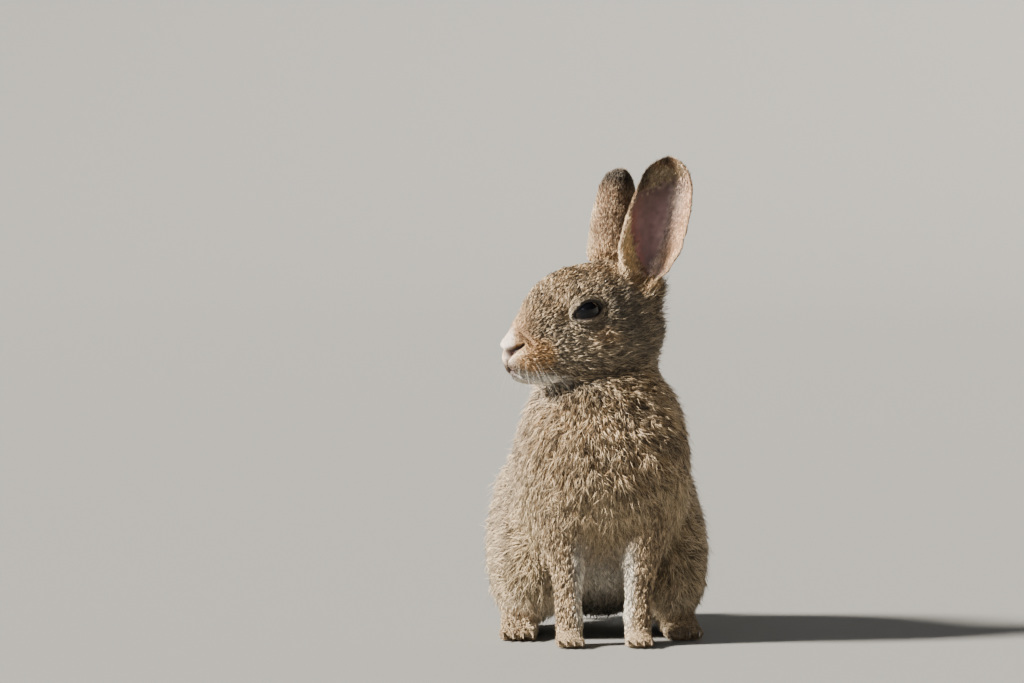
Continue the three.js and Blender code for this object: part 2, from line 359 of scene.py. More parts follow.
def ring_faces(first: int, rings: int, steps: int) -> list[tuple[int, int, int]]:
    """Triangles between rings of points, each ring with the next.

    Args:
        first: Number of the first ring's first point.
        rings: Number of rings.
        steps: Number of points on each ring.

    Returns:
        Two triangles for each step of each pair of rings.
    """
    faces = []
    for low in range(first, first + (rings - 1) * steps, steps):
        for step in range(steps):
            here, after = low + step, low + (step + 1) % steps
            faces += [(here, here + steps, after + steps), (here, after + steps, after)]
    return faces


def fan_faces(hub: int, first: int, steps: int) -> list[tuple[int, int, int]]:
    """Triangles from one point to each step of a ring."""
    return [(hub, first + step, first + (step + 1) % steps) for step in range(steps)]


def globe(centre: Array, reaches: Array, axes: Array, steps: int) -> TriangleMesh:
    """Closed globe about its first axis.

    Args:
        centre: Middle of the globe.
        reaches: Distance from the middle at each ring, from one pole to the other.
        axes: Three directions as rows, the first through the poles.
        steps: Number of points on each ring.

    Returns:
        The globe; its points are the first pole, the rings in turn and the last pole.
    """
    rings = len(reaches)
    polar = np.linspace(0, math.pi, rings)
    turn = np.linspace(0, 2 * math.pi, steps, endpoint=False)
    circle = np.cos(turn)[:, None] * axes[1] + np.sin(turn)[:, None] * axes[2]
    points = [centre + axes[0] * reaches[0]]
    for angle, reach in zip(polar[1:-1], reaches[1:-1]):
        points += list(centre + reach * (math.cos(angle) * axes[0] + math.sin(angle) * circle))
    points.append(centre - axes[0] * reaches[-1])
    last, end = 1 + (rings - 2) * steps, 1 + (rings - 3) * steps
    lower = [face[::-1] for face in fan_faces(last, end, steps)]
    faces = fan_faces(0, 1, steps) + ring_faces(1, rings - 2, steps) + lower
    mesh = TriangleMesh(np.array(points), np.array(faces))
    outward = row_dot(mesh.face_vectors(), mesh.points[mesh.faces[:, 0]] - centre).sum()
    if outward < 0:
        mesh.faces = mesh.faces[:, ::-1].copy()
    return mesh


def node_mesh(name: str) -> TriangleMesh:
    """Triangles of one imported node.

    Args:
        name: The node's name.

    Returns:
        Its mesh, in millimetres.
    """
    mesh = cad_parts[name].data
    mesh.calc_loop_triangles()
    points = np.empty(len(mesh.vertices) * 3, dtype=np.float32)
    mesh.vertices.foreach_get("co", points)
    faces = np.empty(len(mesh.loop_triangles) * 3, dtype=np.int32)
    mesh.loop_triangles.foreach_get("vertices", faces)
    return TriangleMesh(points.reshape(-1, 3).astype(float) / MM, faces.reshape(-1, 3))


def joined(meshes: Sequence[TriangleMesh]) -> TriangleMesh:
    """All meshes as one.

    Args:
        meshes: What to join, in order.

    Returns:
        The joined mesh.
    """
    offsets = np.cumsum([0] + [len(mesh.points) for mesh in meshes[:-1]])
    points = np.concatenate([mesh.points for mesh in meshes])
    faces = np.concatenate([mesh.faces + offset for mesh, offset in zip(meshes, offsets)])
    return TriangleMesh(points, faces)


def node_box(name: str) -> Array:
    """Low and high corner of a node's box, in millimetres."""
    return np.array([list(corner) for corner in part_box(name)]) / MM


def node_centre(name: str) -> Array:
    """Middle of a node's box, in millimetres."""
    low, high = node_box(name)
    return (low + high) / 2


def add_field(made: Object, name: str, values: Array) -> None:
    """Store numbers, or colours with alpha, on an object's points.

    Args:
        made: Object that gets the attribute.
        name: Name that its material reads.
        values: One number or four for each point.
    """
    colour = values.ndim == 2
    kind = "FLOAT_COLOR" if colour else "FLOAT"
    attribute = made.data.attributes.new(name, kind, "POINT")
    attribute.data.foreach_set("color" if colour else "value", values.astype(np.float32).ravel())


def dress(made: Object, finish: Material, slot: str, *nodes: str) -> None:
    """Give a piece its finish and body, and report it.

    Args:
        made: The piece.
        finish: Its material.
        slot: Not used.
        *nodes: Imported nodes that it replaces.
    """
    made.data.materials.append(finish)
    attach(made, BODY)
    if nodes:
        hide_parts(*nodes)
    logger.info("%s: %d triangles", made.name, len(made.data.polygons))


# Shader graph

@dataclass(frozen=True)
class Signal:
    """Output socket of a number, on which arithmetic adds Math nodes."""

    graph: "ShaderGraph"
    socket: Socket

    def __add__(self, other: "Signal | float") -> "Signal":
        """Sum."""
        return self.graph.math("ADD", self, other)

    def __mul__(self, other: "Signal | float") -> "Signal":
        """Product."""
        return self.graph.math("MULTIPLY", self, other)

    __radd__ = __add__
    __rmul__ = __mul__

    def step(self, low: float, high: float) -> "Signal":
        """Smooth rise from 0 at `low` to 1 at `high`, or fall where `low` is the larger.

        Args:
            low: Value where the result is 0.
            high: Value where the result is 1.

        Returns:
            The mapped number.
        """
        rising = low < high
        ends = {"From Min": min(low, high), "From Max": max(low, high)}
        ends |= {"To Min": 0.0 if rising else 1.0, "To Max": 1.0 if rising else 0.0}
        settings = {"interpolation_type": "SMOOTHSTEP"}
        return self.graph.node("ShaderNodeMapRange", settings, {"Value": self, **ends}).signal("Result")


@dataclass(frozen=True)
class Outputs:
    """Outputs of one shader node."""

    graph: "ShaderGraph"
    made: bpy.types.Node

    def signal(self, name: str | int = 0) -> Signal:
        """Number output by name or place."""
        return Signal(self.graph, self.made.outputs[name])

    def socket(self, name: str | int = 0) -> Socket:
        """Colour, vector or shader output by name or place."""
        return self.made.outputs[name]


@dataclass
class ShaderGraph:
    """Nodes of one material."""

    name: str
    material: Material = field(init=False)

    def __post_init__(self) -> None:
        """Make the empty material."""
        self.material = bpy.data.materials.new(self.name)
        self.material.use_nodes = True
        self.material.node_tree.nodes.clear()

    def node(self, kind: str, settings: dict[str, object], inputs: dict[str | int, object]) -> Outputs:
        """Add a node.

        Args:
            kind: Blender's type name of the node.
            settings: Properties, set before the sockets.
            inputs: Value or link of each socket, by name or place.

        Returns:
            The node's outputs.
        """
        made = self.material.node_tree.nodes.new(kind)
        for name, value in settings.items():
            setattr(made, name, value)
        for name, value in inputs.items():
            source = value.socket if isinstance(value, Signal) else value
            if isinstance(source, Socket):
                self.material.node_tree.links.new(source, made.inputs[name])
            else:
                made.inputs[name].default_value = source
        return Outputs(self, made)

    def math(self, operation: str, *values: Signal | float) -> Signal:
        """Math node on one to three numbers."""
        return self.node("ShaderNodeMath", {"operation": operation}, dict(enumerate(values))).signal()

    def mix(self, share: Signal | float, first: object, second: object, how: str = "MIX") -> object:
        """Mix two colours.

        Args:
            share: How much of the second colour.
            first: Colour or link.
            second: Colour or link.
            how: Blend type.

        Returns:
            The mixed colour's socket.
        """
        settings = {"data_type": "RGBA", "blend_type": how, "clamp_factor": True}
        inputs = {0: share, 6: self._colour(first), 7: self._colour(second)}
        return self.node("ShaderNodeMix", settings, inputs).socket(2)

    @staticmethod
    def _colour(value: object) -> object:
        """Colour with alpha, or the link itself."""
        return value if isinstance(value, Socket) else (*value, 1.0)[:4]

    def attribute(self, name: str) -> Outputs:
        """Read a field stored on the mesh."""
        return self.node("ShaderNodeAttribute", {"attribute_name": name}, {})

    def number(self, name: str) -> Signal:
        """Read a field of numbers stored on the mesh."""
        return self.attribute(name).signal("Fac")

    def noise(self, scale: float, detail: float) -> Signal:
        """Noise from 0 to 1 at so many cells in a metre.

        Args:
            scale: Cells in a metre.
            detail: Number of finer layers.

        Returns:
            The noise.
        """
        place = self.node("ShaderNodeTexCoord", {}, {}).socket("Object")
        inputs = {"Vector": place, "Scale": scale, "Detail": detail}
        return self.node("ShaderNodeTexNoise", {}, inputs).signal("Fac")

    def shaded(self, colour: object, amount: Signal) -> object:
        """Colour times a number.

        Args:
            colour: Colour or link.
            amount: What to multiply it by.

        Returns:
            The product's socket.
        """
        channels = dict.fromkeys(("Red", "Green", "Blue"), amount)
        grey = self.node("ShaderNodeCombineColor", {"mode": "RGB"}, channels)
        return self.mix(1.0, colour, grey.socket(), "MULTIPLY")

    def bumped(self, height: Signal, strength: float, distance: float) -> Socket:
        """Normal bumped by a height; `distance` is in millimetres."""
        inputs = {"Height": height, "Strength": strength, "Distance": distance * MM}
        return self.node("ShaderNodeBump", {}, inputs).socket("Normal")

    def finish(self, inputs: dict[str | int, object]) -> Material:
        """Close the graph with one principled surface.

        Args:
            inputs: Values and links of the surface's sockets.

        Returns:
            The finished material.
        """
        surface = self.node("ShaderNodeBsdfPrincipled", {}, inputs).socket("BSDF")
        self.node("ShaderNodeOutputMaterial", {}, {"Surface": surface})
        return self.material


# Finishes

@dataclass(frozen=True)
class SkinFinish:
    """Skin under the coat: the coat's marking, darker where hair shades it, and moist where bare."""

    under_coat: float = 0.5
    shade_scale: float = 900.0  # scales are cells in a metre
    blotch_scale: float = 260.0
    pore_scale: float = 2600.0
    bare_roughness: float = 0.42
    coat_roughness: float = 0.9

    def build(self) -> Material:
        """Make the material.

        Returns:
            The finished material.
        """
        graph = ShaderGraph("skin")
        mark = graph.attribute("mark").socket("Color")
        bare = graph.number("bare")
        shade = graph.noise(self.shade_scale, 3.0).step(0.25, 0.75) * 0.3 + self.under_coat
        blotch = graph.noise(self.blotch_scale, 3.0).step(0.3, 0.7) * 0.36 + 0.8
        base = graph.mix(bare, graph.shaded(mark, shade), graph.shaded(mark, blotch))
        pores = graph.noise(self.pore_scale, 4.0)
        roughness = bare * (self.bare_roughness - self.coat_roughness) + self.coat_roughness
        return graph.finish(
            {
                "Base Color": base,
                "Roughness": roughness,
                "Normal": graph.bumped(pores, 0.5, 0.25),
                "Specular IOR Level": 0.35,
                "Subsurface Weight": 0.12,
                "Subsurface Radius": (1.2 * MM, 0.5 * MM, 0.3 * MM),
                "Subsurface Scale": 1.0,
            }
        )


@dataclass(frozen=True)
class CoatFinish:
    """Banded hair: slate at the root, the marking's colour above it, dark or cream tips."""

    root_tone: Colour = (0.05, 0.04, 0.033)
    dark_tip: Colour = (0.026, 0.019, 0.014)
    pale_tip: Colour = (0.66, 0.51, 0.335)
    dark_share: float = 0.36
    pale_share: float = 0.3
    patch_scale: float = 140.0
    roughness: float = 0.6

    def build(self) -> Material:
        """Make the material.

        Returns:
            The finished material.
        """
        graph = ShaderGraph("coat")
        marking = graph.attribute("mark")
        mark = marking.socket("Color")
        ticking = marking.signal("Alpha")
        along = graph.number("along")
        chance = graph.number("chance")
        rooted = graph.mix(0.72 * ticking + 0.1, mark, self.root_tone)
        band = graph.mix(along.step(0.0, 0.4), rooted, mark)
        dark = chance.step(self.dark_share + 0.05, self.dark_share - 0.05) * along.step(0.1, 0.5)
        tipped = graph.mix(dark * ticking * 0.85, band, self.dark_tip)
        pale = chance.step(0.95 - self.pale_share, 1.05 - self.pale_share) * along.step(0.15, 0.5)
        lit = graph.mix(pale * (0.04 + 0.66 * ticking), tipped, self.pale_tip)
        patch = graph.noise(self.patch_scale, 2.0).step(0.3, 0.7) * 0.24 + 0.88
        return graph.finish(
            {
                "Base Color": graph.shaded(lit, patch),
                "Roughness": self.roughness,
                "Specular IOR Level": 0.3,
                "Sheen Weight": 0.12,
                "Sheen Roughness": 0.5,
                "Sheen Tint": (0.9, 0.8, 0.68, 1.0),
            }
        )


@dataclass(frozen=True)
class EyeFinish:
    """Wet eye: nearly black pupil in a dark brown iris, under a clear gloss."""

    pupil: Colour = (0.002, 0.002, 0.003)
    iris: Colour = (0.007, 0.004, 0.003)
    iris_edge: Colour = (0.003, 0.002, 0.002)

    def build(self) -> Material:
        """Make the material.

        Returns:
            The finished material.
        """
        graph = ShaderGraph("eye")
        ring = graph.number("ring")
        streaks = graph.noise(1500.0, 4.0).step(0.3, 0.7)
        iris = graph.mix(streaks * 0.7, self.iris, self.iris_edge)
        inner = graph.mix(ring.step(0.5, 0.66), self.pupil, iris)
        base = graph.mix(ring.step(0.74, 0.86), inner, self.iris_edge)
        return graph.finish(
            {
                "Base Color": base,
                "Roughness": 0.2,
                "Specular IOR Level": 0.05,
                "Coat Weight": 1.0,
                "Coat Roughness": 0.05,
                "Coat IOR": 1.27,
            }
        )


@dataclass(frozen=True)
class HornFinish:
    """Claw horn, dark at the root and paler at the tip."""

    root: Colour = (0.05, 0.034, 0.024)
    tip: Colour = (0.3, 0.22, 0.15)

    def build(self) -> Material:
        """Make the material.

        Returns:
            The finished material.
        """
        graph = ShaderGraph("claw_horn")
        along = graph.number("along")
        grain = graph.noise(2500.0, 3.0)
        base = graph.mix(along.step(0.2, 1.0) * 0.8 + grain * 0.2, self.root, self.tip)
        return graph.finish({"Base Color": base, "Roughness": grain * 0.2 + 0.3})


@dataclass(frozen=True)
class WhiskerFinish:
    """Stiff whisker, dark at the root and clear towards the tip."""

    root: Colour = (0.09, 0.065, 0.045)
    tip: Colour = (0.5, 0.45, 0.38)

    def build(self) -> Material:
        """Make the material.

        Returns:
            The finished material.
        """
        graph = ShaderGraph("whisker")
        along = graph.number("along")
        base = graph.mix(along.step(0.0, 0.45), self.root, self.tip)
        return graph.finish({"Base Color": base, "Roughness": 0.35})


@dataclass(frozen=True)
class StudioFinish:
    """Matt pale paper of the floor and the wall behind."""

    tone: Colour = (0.188, 0.188, 0.1855)

    def build(self) -> Material:
        """Make the material.

        Returns:
            The finished material.
        """
        graph = ShaderGraph("studio_paper")
        darker = tuple(value * 0.97 for value in self.tone)
        return graph.finish(
            {
                "Base Color": graph.mix(graph.noise(60.0, 3.0), darker, self.tone),
                "Roughness": 0.85,
                "Specular IOR Level": 0.2,
                "Emission Color": graph.attribute("glow").socket("Color"),
                "Emission Strength": 1.0,
            }
        )


# Regions of the animal

@dataclass(frozen=True)
class Hair:
    """Coat of one region, in millimetres and degrees."""

    length: float
    lift: float
    width: float
    density: float  # tufts on a square millimetre
    locks: float  # locks on a square millimetre


class Region(Enum):
    """Named regions, each with the start of its nodes' names and its hair."""

    HEAD = ("head", Hair(3.4, 16.5, 0.41, 6.6, 2.0))
    EAR = ("ear_", Hair(1.9, 19.0, 0.36, 6.6, 2.8))
    NECK = ("neck", Hair(6.5, 26.0, 0.36, 5.4, 1.7))
    TRUNK = ("trunk", Hair(7.6, 24.0, 0.39, 3.5, 1.4))
    THIGH = ("thigh_", Hair(8.2, 25.0, 0.42, 3.1, 1.2))
    TAIL = ("tail", Hair(9.5, 34.0, 0.4, 4.0, 0.8))
    FORELEG = ("foreleg_", Hair(4.2, 15.0, 0.4, 3.8, 1.6))
    FOREPAW = ("forepaw_", Hair(2.3, 14.0, 0.38, 4.4, 1.4))
    HINDFOOT = ("hindfoot_", Hair(3.6, 15.0, 0.4, 3.9, 1.1))

    def __init__(self, prefix: str, hair: Hair) -> None:
        """Name the two parts of the value."""
        self.prefix, self.hair = prefix, hair

    def nodes(self) -> list[str]:
        """Packed flesh nodes of this region."""
        names = sorted(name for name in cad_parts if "claw" not in name)
        return [name for name in names if name.startswith(self.prefix)]


@dataclass(frozen=True)
class EarFrame:
    """Direction in which an ear opens, the one from its front rim to its rear rim, and its sections."""

    opening: Array
    rearward: Array
    sections: Array  # rows of the middle's place and half the width, from root to tip

    @classmethod
    def measured(cls, head: HeadFrame, side: Side) -> "EarFrame":
        """Measure an ear's node.

        Args:
            head: The head's frame.
            side: Which ear.

        Returns:
            The ear's frame.
        """
        points = node_mesh(side.of("ear")).points
        outward, forward = 0.93, 0.36
        opening = unit(head.turned([side * outward, forward, 0.0]))
        rearward = unit(head.turned([side * forward, -outward, 0.0]))
        height = points[:, 2]
        sections = []
        for level in np.linspace(height.min() + 4, height.max() - 2, 12):
            slab = points[np.abs(height - level) < 4.5]
            deep, wide = slab @ opening, slab @ rearward
            middle = opening * (deep.min() + deep.max()) / 2 + rearward * (wide.min() + wide.max()) / 2
            half = max((wide.max() - wide.min()) / 2, 2.0)
            sections.append([middle[0], middle[1], level, half])
        return cls(opening, rearward, np.array(sections))

    def section(self, height: Array) -> tuple[Array, Array]:
        """Middle of the ear's section at each height, and half its width."""
        rows = [np.interp(height, self.sections[:, 2], self.sections[:, i]) for i in (0, 1, 3)]
        return np.column_stack([rows[0], rows[1], height]), rows[2]

    def across(self, points: Array) -> Array:
        """Place across the ear, -1 at its front rim and 1 at its rear rim."""
        middle, half = self.section(points[:, 2])
        return ((points - middle) @ self.rearward) / half


@dataclass
class Landmarks:
    """Places that the skin, the coat and the markings share."""

    eyes: dict[Side, Array] = field(init=False)
    eye_radius: float = field(init=False)
    head: HeadFrame = field(init=False)
    ears: dict[Side, EarFrame] = field(init=False)
    throat: Array = field(init=False)
    nose: Array = field(init=False)
    spine: float = field(init=False)  # place of the trunk's middle, along X

    def __post_init__(self) -> None:
        """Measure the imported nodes."""
        self.eyes = {side: node_centre(side.of("eye")) for side in Side.pair()}
        low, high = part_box("eye_left")
        self.eye_radius = (high[2] - low[2]) / 2 / MM
        self.head = HeadFrame.between(self.eyes[Side.LEFT], self.eyes[Side.RIGHT])
        self.ears = {side: EarFrame.measured(self.head, side) for side in Side.pair()}
        head = node_mesh("head").points
        self.nose = head[np.argmax(self.head.local(head)[:, 1])]
        self.throat = self.head.world([0.0, -6.0, -26.0])
        self.spine = (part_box("trunk")[0][0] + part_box("trunk")[1][0]) / 2 / MM


# Skin

@dataclass(frozen=True)
class Lids:
    """Opening of one eye and the lids about it, in millimetres on the eyeball."""

    half_length: float = 6.4
    upper: float = 3.75
    lower: float = 3.05
    tilt: float = 21.0  # degrees, front corner low
    shift: tuple[float, float] = (-0.1, -0.1)  # forward and up from the eye's axis
    thickness: float = 0.5
    front_point: float = 1.45  # exponents of the outline, lower is more pointed
    rear_point: float = 2.2
    yaw: float = 9.0  # degrees that the eye's axis points forward of sideways
    pitch: float = 7.0
    hug: float = 5.6  # reach of the lids over the eyeball

    def axes(self, head: HeadFrame, side: Side) -> tuple[Array, Array, Array]:
        """Directions out of the eye, forward along its opening and up across it.

        Args:
            head: The head's frame.
            side: Which eye.

        Returns:
            The three directions.
        """
        yaw, pitch, tilt = (math.radians(a) for a in (self.yaw, self.pitch, self.tilt))
        out = (side * math.cos(yaw) * math.cos(pitch), math.sin(yaw), math.sin(pitch))
        outward = unit(head.turned(out))
        forward = unit(head.front - outward * (head.front @ outward))
        upward = np.cross(outward, forward) * side * -1.0
        if upward[2] < 0:
            upward = -upward
        along = forward * math.cos(tilt) - upward * math.sin(tilt)
        above = forward * math.sin(tilt) + upward * math.cos(tilt)
        return outward, along, above

    def opening(self, points: Array, marks: Landmarks, side: Side) -> tuple[Array, Array]:
        """Signed distance from the lid margin, negative inside, and the share of facing out.

        Args:
            points: Places on the skin.
            marks: The animal's landmarks.
            side: Which eye.

        Returns:
            Distance from the margin and the cosine from the eye's axis, one each a point.
        """
        outward, along, above = self.axes(marks.head, side)
        offset = points - marks.eyes[side]
        span = lengths(offset)
        ray = offset / span[:, None]
        facing = ray @ outward
        reach = np.maximum(span, 8.0)
        x = ray @ along * reach - self.shift[0]
        y = ray @ above * reach - self.shift[1]
        share = np.abs(x / self.half_length)
        height = np.where(y > 0, self.upper, self.lower)
        point = np.where(x > 0, self.front_point, self.rear_point)
        oval = (share**point + np.abs(y / height) ** 1.8) ** 0.55
        lean = np.clip(share, 0, 1) ** 2
        distance = (oval - 1.0) * (height + (self.half_length * 0.9 - height) * lean)
        return np.where(facing > 0.05, distance, FAR), facing


class MuzzleLine(Enum):
    """Lines of the muzzle's left half as (side, front, up) from the middle between the eyes."""

    NOSTRIL = ((2.3, 30.8, -17.1), (3.3, 29.7, -16.5), (5.0, 28.1, -15.2), (7.0, 26.2, -13.3))
    WING = ((2.8, 30.6, -13.4), (5.4, 28.4, -11.6))
    CREASE = ((4.4, 26.8, -8.6), (7.0, 24.6, -10.8), (8.8, 23.0, -13.2))
    CLEFT = ((2.0, 30.4, -17.8), (1.3, 29.9, -19.4), (0.5, 29.4, -21.2), (0.0, 29.0, -23.0))
    MOUTH = ((0.0, 29.2, -23.0), (2.4, 27.6, -25.0), (5.4, 24.4, -26.6), (8.6, 18.6, -27.0))
    LIP = ((2.2, 31.0, -19.6), (4.4, 29.0, -17.8), (7.0, 26.4, -16.2))


@dataclass
class Pelt:
    """The one skin over all flesh, inside the coat by the coat's depth."""

    marks: Landmarks
    lids: Lids = field(default_factory=Lids)
    fine_voxel: float = 0.6
    coarse_voxel: float = 1.6
    closing: float = 0.9
    overlap: float = 0.5
    smoothing_steps: int = 80
    ear_steps: int = 90
    coat_depth: float = 0.92  # how far the skin sinks, as a share of the coat's height
    margin: float = 0.12  # how much further it sinks everywhere
    sole: float = 0.35  # height of the soles' skin
    jaw_groove: float = 1.8
    ear_flange: float = 0.5  # how far the front rim is drawn out at its foot
    ear_roll: float = 0.6  # thickness added to the front rim
    nostril_depth: float = 2.9
    nostril_width: float = 2.3
    pad_middle: Place = (7.4, 22.5, -18.6)  # side, front and up on the head
    chin_middle: Place = (0.0, 25.5, -28.6)
    mesh: TriangleMesh = field(init=False)
    weights: Array = field(init=False)  # share of each region at each point
    inner_ear: Array = field(init=False)  # 1 where it faces its ear's middle, -1 away
    ear_across: Array = field(init=False)  # -1 at the front rim, 1 at the rear rim
    lines: dict[MuzzleLine, tuple[Array, Array]] = field(init=False)
    length: Array = field(init=False)  # of the coat
    lift: Array = field(init=False)  # of the coat, in degrees
    uv: Array = field(init=False)  # place of each face's corners on the unwrap

    @staticmethod
    def _volume(mesh: TriangleMesh, voxel: float) -> openvdb.FloatGrid:
        """Signed distance around a closed mesh.

        Args:
            mesh: The mesh.
            voxel: Width of a cell.

        Returns:
            The distance as a volume.
        """
        return openvdb.FloatGrid.createLevelSetFromPolygons(
            mesh.points.astype(np.float32),
            triangles=mesh.faces.astype(np.uint32),
            transform=openvdb.createLinearTransform(voxelSize=voxel),
            halfWidth=4,
        )

    @staticmethod
    def _surface(volume: openvdb.FloatGrid, level: float) -> TriangleMesh:
        """Surface of a volume at a distance, with its faces pointing out.

        Args:
            volume: Distance from a mesh.
            level: Distance at which the surface lies.

        Returns:
            The surface.
        """
        points, _, quads = volume.convertToPolygons(isovalue=level, adaptivity=0.0)
        quads = quads.astype(np.int64)
        faces = np.concatenate([quads[:, [0, 1, 2]], quads[:, [0, 2, 3]]])
        mesh = TriangleMesh(points.astype(float), faces)
        a, b, c = (mesh.points[faces[:, i]] for i in range(3))
        if np.einsum("ij,ij->", a, np.cross(b, c)) < 0:
            mesh.faces = faces[:, ::-1].copy()
        return mesh

    def _smooth_rate(self, points: Array) -> Array:
        """How fast the facets of each place are smoothed away.

        Args:
            points: Places on the skin.

        Returns:
            A rate for each point.
        """
        local = self.marks.head.local(points)
        on_head = smoothstep(-36, -31, local[:, 2]) * smoothstep(62, 55, lengths(local))
        rate = 0.9 - 0.5 * on_head
        nose = bump(lengths(points - self.marks.nose), 12)
        rate = rate * (1 - 0.6 * nose)
        rate = rate * (1 - 0.99 * self._on_ears(points))
        paws = smoothstep(19, 12, points[:, 2])
        return rate * (1 - 0.8 * paws)

    def _on_ears(self, points: Array) -> Array:
        """How far each place is up on an ear."""
        local = self.marks.head.local(points)
        return smoothstep(18.0, 23.0, local[:, 2] - 0.12 * local[:, 1])

    def _near_face(self, points: Array) -> Array:
        """Places about the eyes and the muzzle's front.

        Args:
            points: Places on the skin.

        Returns:
            True where a point is near.
        """
        local = self.marks.head.local(points)
        chosen = (local[:, 1] > 20.5) & (local[:, 2] < -7) & (local[:, 2] > -34)
        for side, eye in self.marks.eyes.items():
            outward, _, _ = self.lids.axes(self.marks.head, side)
            offset = points - eye
            chosen |= (lengths(offset) < 11) & (offset @ outward > 2.0)
        return chosen

    def _near_lids(self, points: Array) -> Array:
        """True in a band along the lid margins."""
        return np.abs(self.lid_distance(points)) < 1.1

    @staticmethod
    def _projected(mesh: TriangleMesh, tree: BVHTree) -> TriangleMesh:
        """Mesh with its points moved to the nearest place of a surface."""
        moved = [tree.find_nearest(Vector(point))[0] for point in mesh.points.tolist()]
        return TriangleMesh(np.array(moved), mesh.faces)

    def _cushion(self, side: Side) -> TriangleMesh:
        """Ball that fills the hollow behind an ear's root."""
        centre = self.marks.head.world([side * 9.0, -30.0, 8.0])
        return globe(centre, np.full(16, 7.0), np.eye(3), 24)

    def _base(self) -> TriangleMesh:
        """Smooth outer form with fine faces on the head, the ears and the feet.

        Returns:
            The skin before it is sunk and sculpted.
        """
        names = [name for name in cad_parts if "claw" not in name]
        cushions = [self._cushion(side) for side in Side.pair()]
        solid = joined([node_mesh(name) for name in sorted(names)] + cushions)
        swollen = self._surface(self._volume(solid, self.fine_voxel), self.closing)
        fine = self._surface(self._volume(swollen, self.fine_voxel), -self.closing)
        rate = self._smooth_rate(fine.points)
        fine.points = fine.diffused(fine.points, self.smoothing_steps, rate)
        ears = self._on_ears(fine.points)
        fine.points = fine.diffused(fine.points, self.ear_steps, 0.62 * ears, 0.64 * ears)
        tree = fine.tree()
        coarse = self._surface(self._volume(fine, self.coarse_voxel), self.overlap)
        local = self.marks.head.local(coarse.points)
        head = (local[:, 2] > -34) & (lengths(local[:, :2]) < 46)
        coarse = coarse.refined(head | (coarse.points[:, 2] < 11))
        coarse = self._projected(coarse, tree)
        coarse = coarse.refined(self._near_face(coarse.points))
        coarse = coarse.refined(self._near_lids(coarse.points))
        return self._projected(coarse, tree)

    def _region_weights(self) -> Array:
        """Share of each region at each point, blended across the borders.

        Returns:
            One row for each point, one column for each region.
        """
        pieces, owners = [], []
        for index, region in enumerate(Region):
            for name in region.nodes():
                pieces.append(node_mesh(name))
                owners += [index] * len(pieces[-1].faces)
        tree = joined(pieces).tree()
        nearest = [tree.find_nearest(Vector(point))[2] for point in self.mesh.points.tolist()]
        share = np.eye(len(Region))[np.array(owners)[nearest]]
        return self.mesh.diffused(share, 22)

    def share(self, *regions: Region) -> Array:
        """Summed weight of some regions at each point."""
        order = list(Region)
        return sum(self.weights[:, order.index(region)] for region in regions)

    def _measure_ears(self, normals: Array) -> None:
        """Keep how far each point faces into the hollow of its ear, and its place across the ear.

        Args:
            normals: Unit normals of the skin.
        """
        self.inner_ear = np.full(len(normals), -1.0)
        self.ear_across = np.zeros(len(normals))
        ear = self.share(Region.EAR)
        local = self.marks.head.local(self.mesh.points)
        for side, frame_of_ear in self.marks.ears.items():
            own = (local[:, 0] * side > 0) & (ear > 0.02)
            points = self.mesh.points[own]
            middle, _ = frame_of_ear.section(points[:, 2])
            to_middle = unit((middle - points)[:, :2])
            self.inner_ear[own] = row_dot(normals[own][:, :2], to_middle)
            self.ear_across[own] = frame_of_ear.across(points)

    def _draw_rims(self) -> None:
        """Draw each ear's front rim out where it runs down to the head."""
        ear = smoothstep(0.0, 0.4, self.share(Region.EAR))
        local = self.marks.head.local(self.mesh.points)
        rise = np.interp(local[:, 2], [8, 15, 22, 32, 48], [0.2, 1.0, 0.9, 0.5, 0.0])
        amount = self.ear_flange * ear * rise * smoothstep(-0.3, -1.0, self.ear_across)
        amount += 1.5 * ear * bump(local[:, 2] - 20.0, 3.6) * smoothstep(0.4, 1.0, self.ear_across)
        roll = ear * smoothstep(-0.55, -0.9, self.ear_across) * smoothstep(52, 34, local[:, 2])
        self.mesh.points = self.mesh.points + self.mesh.normals() * (self.ear_roll * roll)[:, None]
        for side, frame_of_ear in self.marks.ears.items():
            own = local[:, 0] * side > 0
            self.mesh.points = self.mesh.points - frame_of_ear.rearward * (amount * own)[:, None]

    def lid_distance(self, points: Array) -> Array:
        """Distance from the nearer eye's lid margin, negative inside the opening.

        Args:
            points: Places on the skin.

        Returns:
            The distance of each point.
        """
        nearest = np.full(len(points), FAR)
        for side, eye in self.marks.eyes.items():
            near = lengths(points - eye) < 22
            distance, _ = self.lids.opening(points[near], self.marks, side)
            nearest[near] = np.minimum(nearest[near], distance)
        return nearest

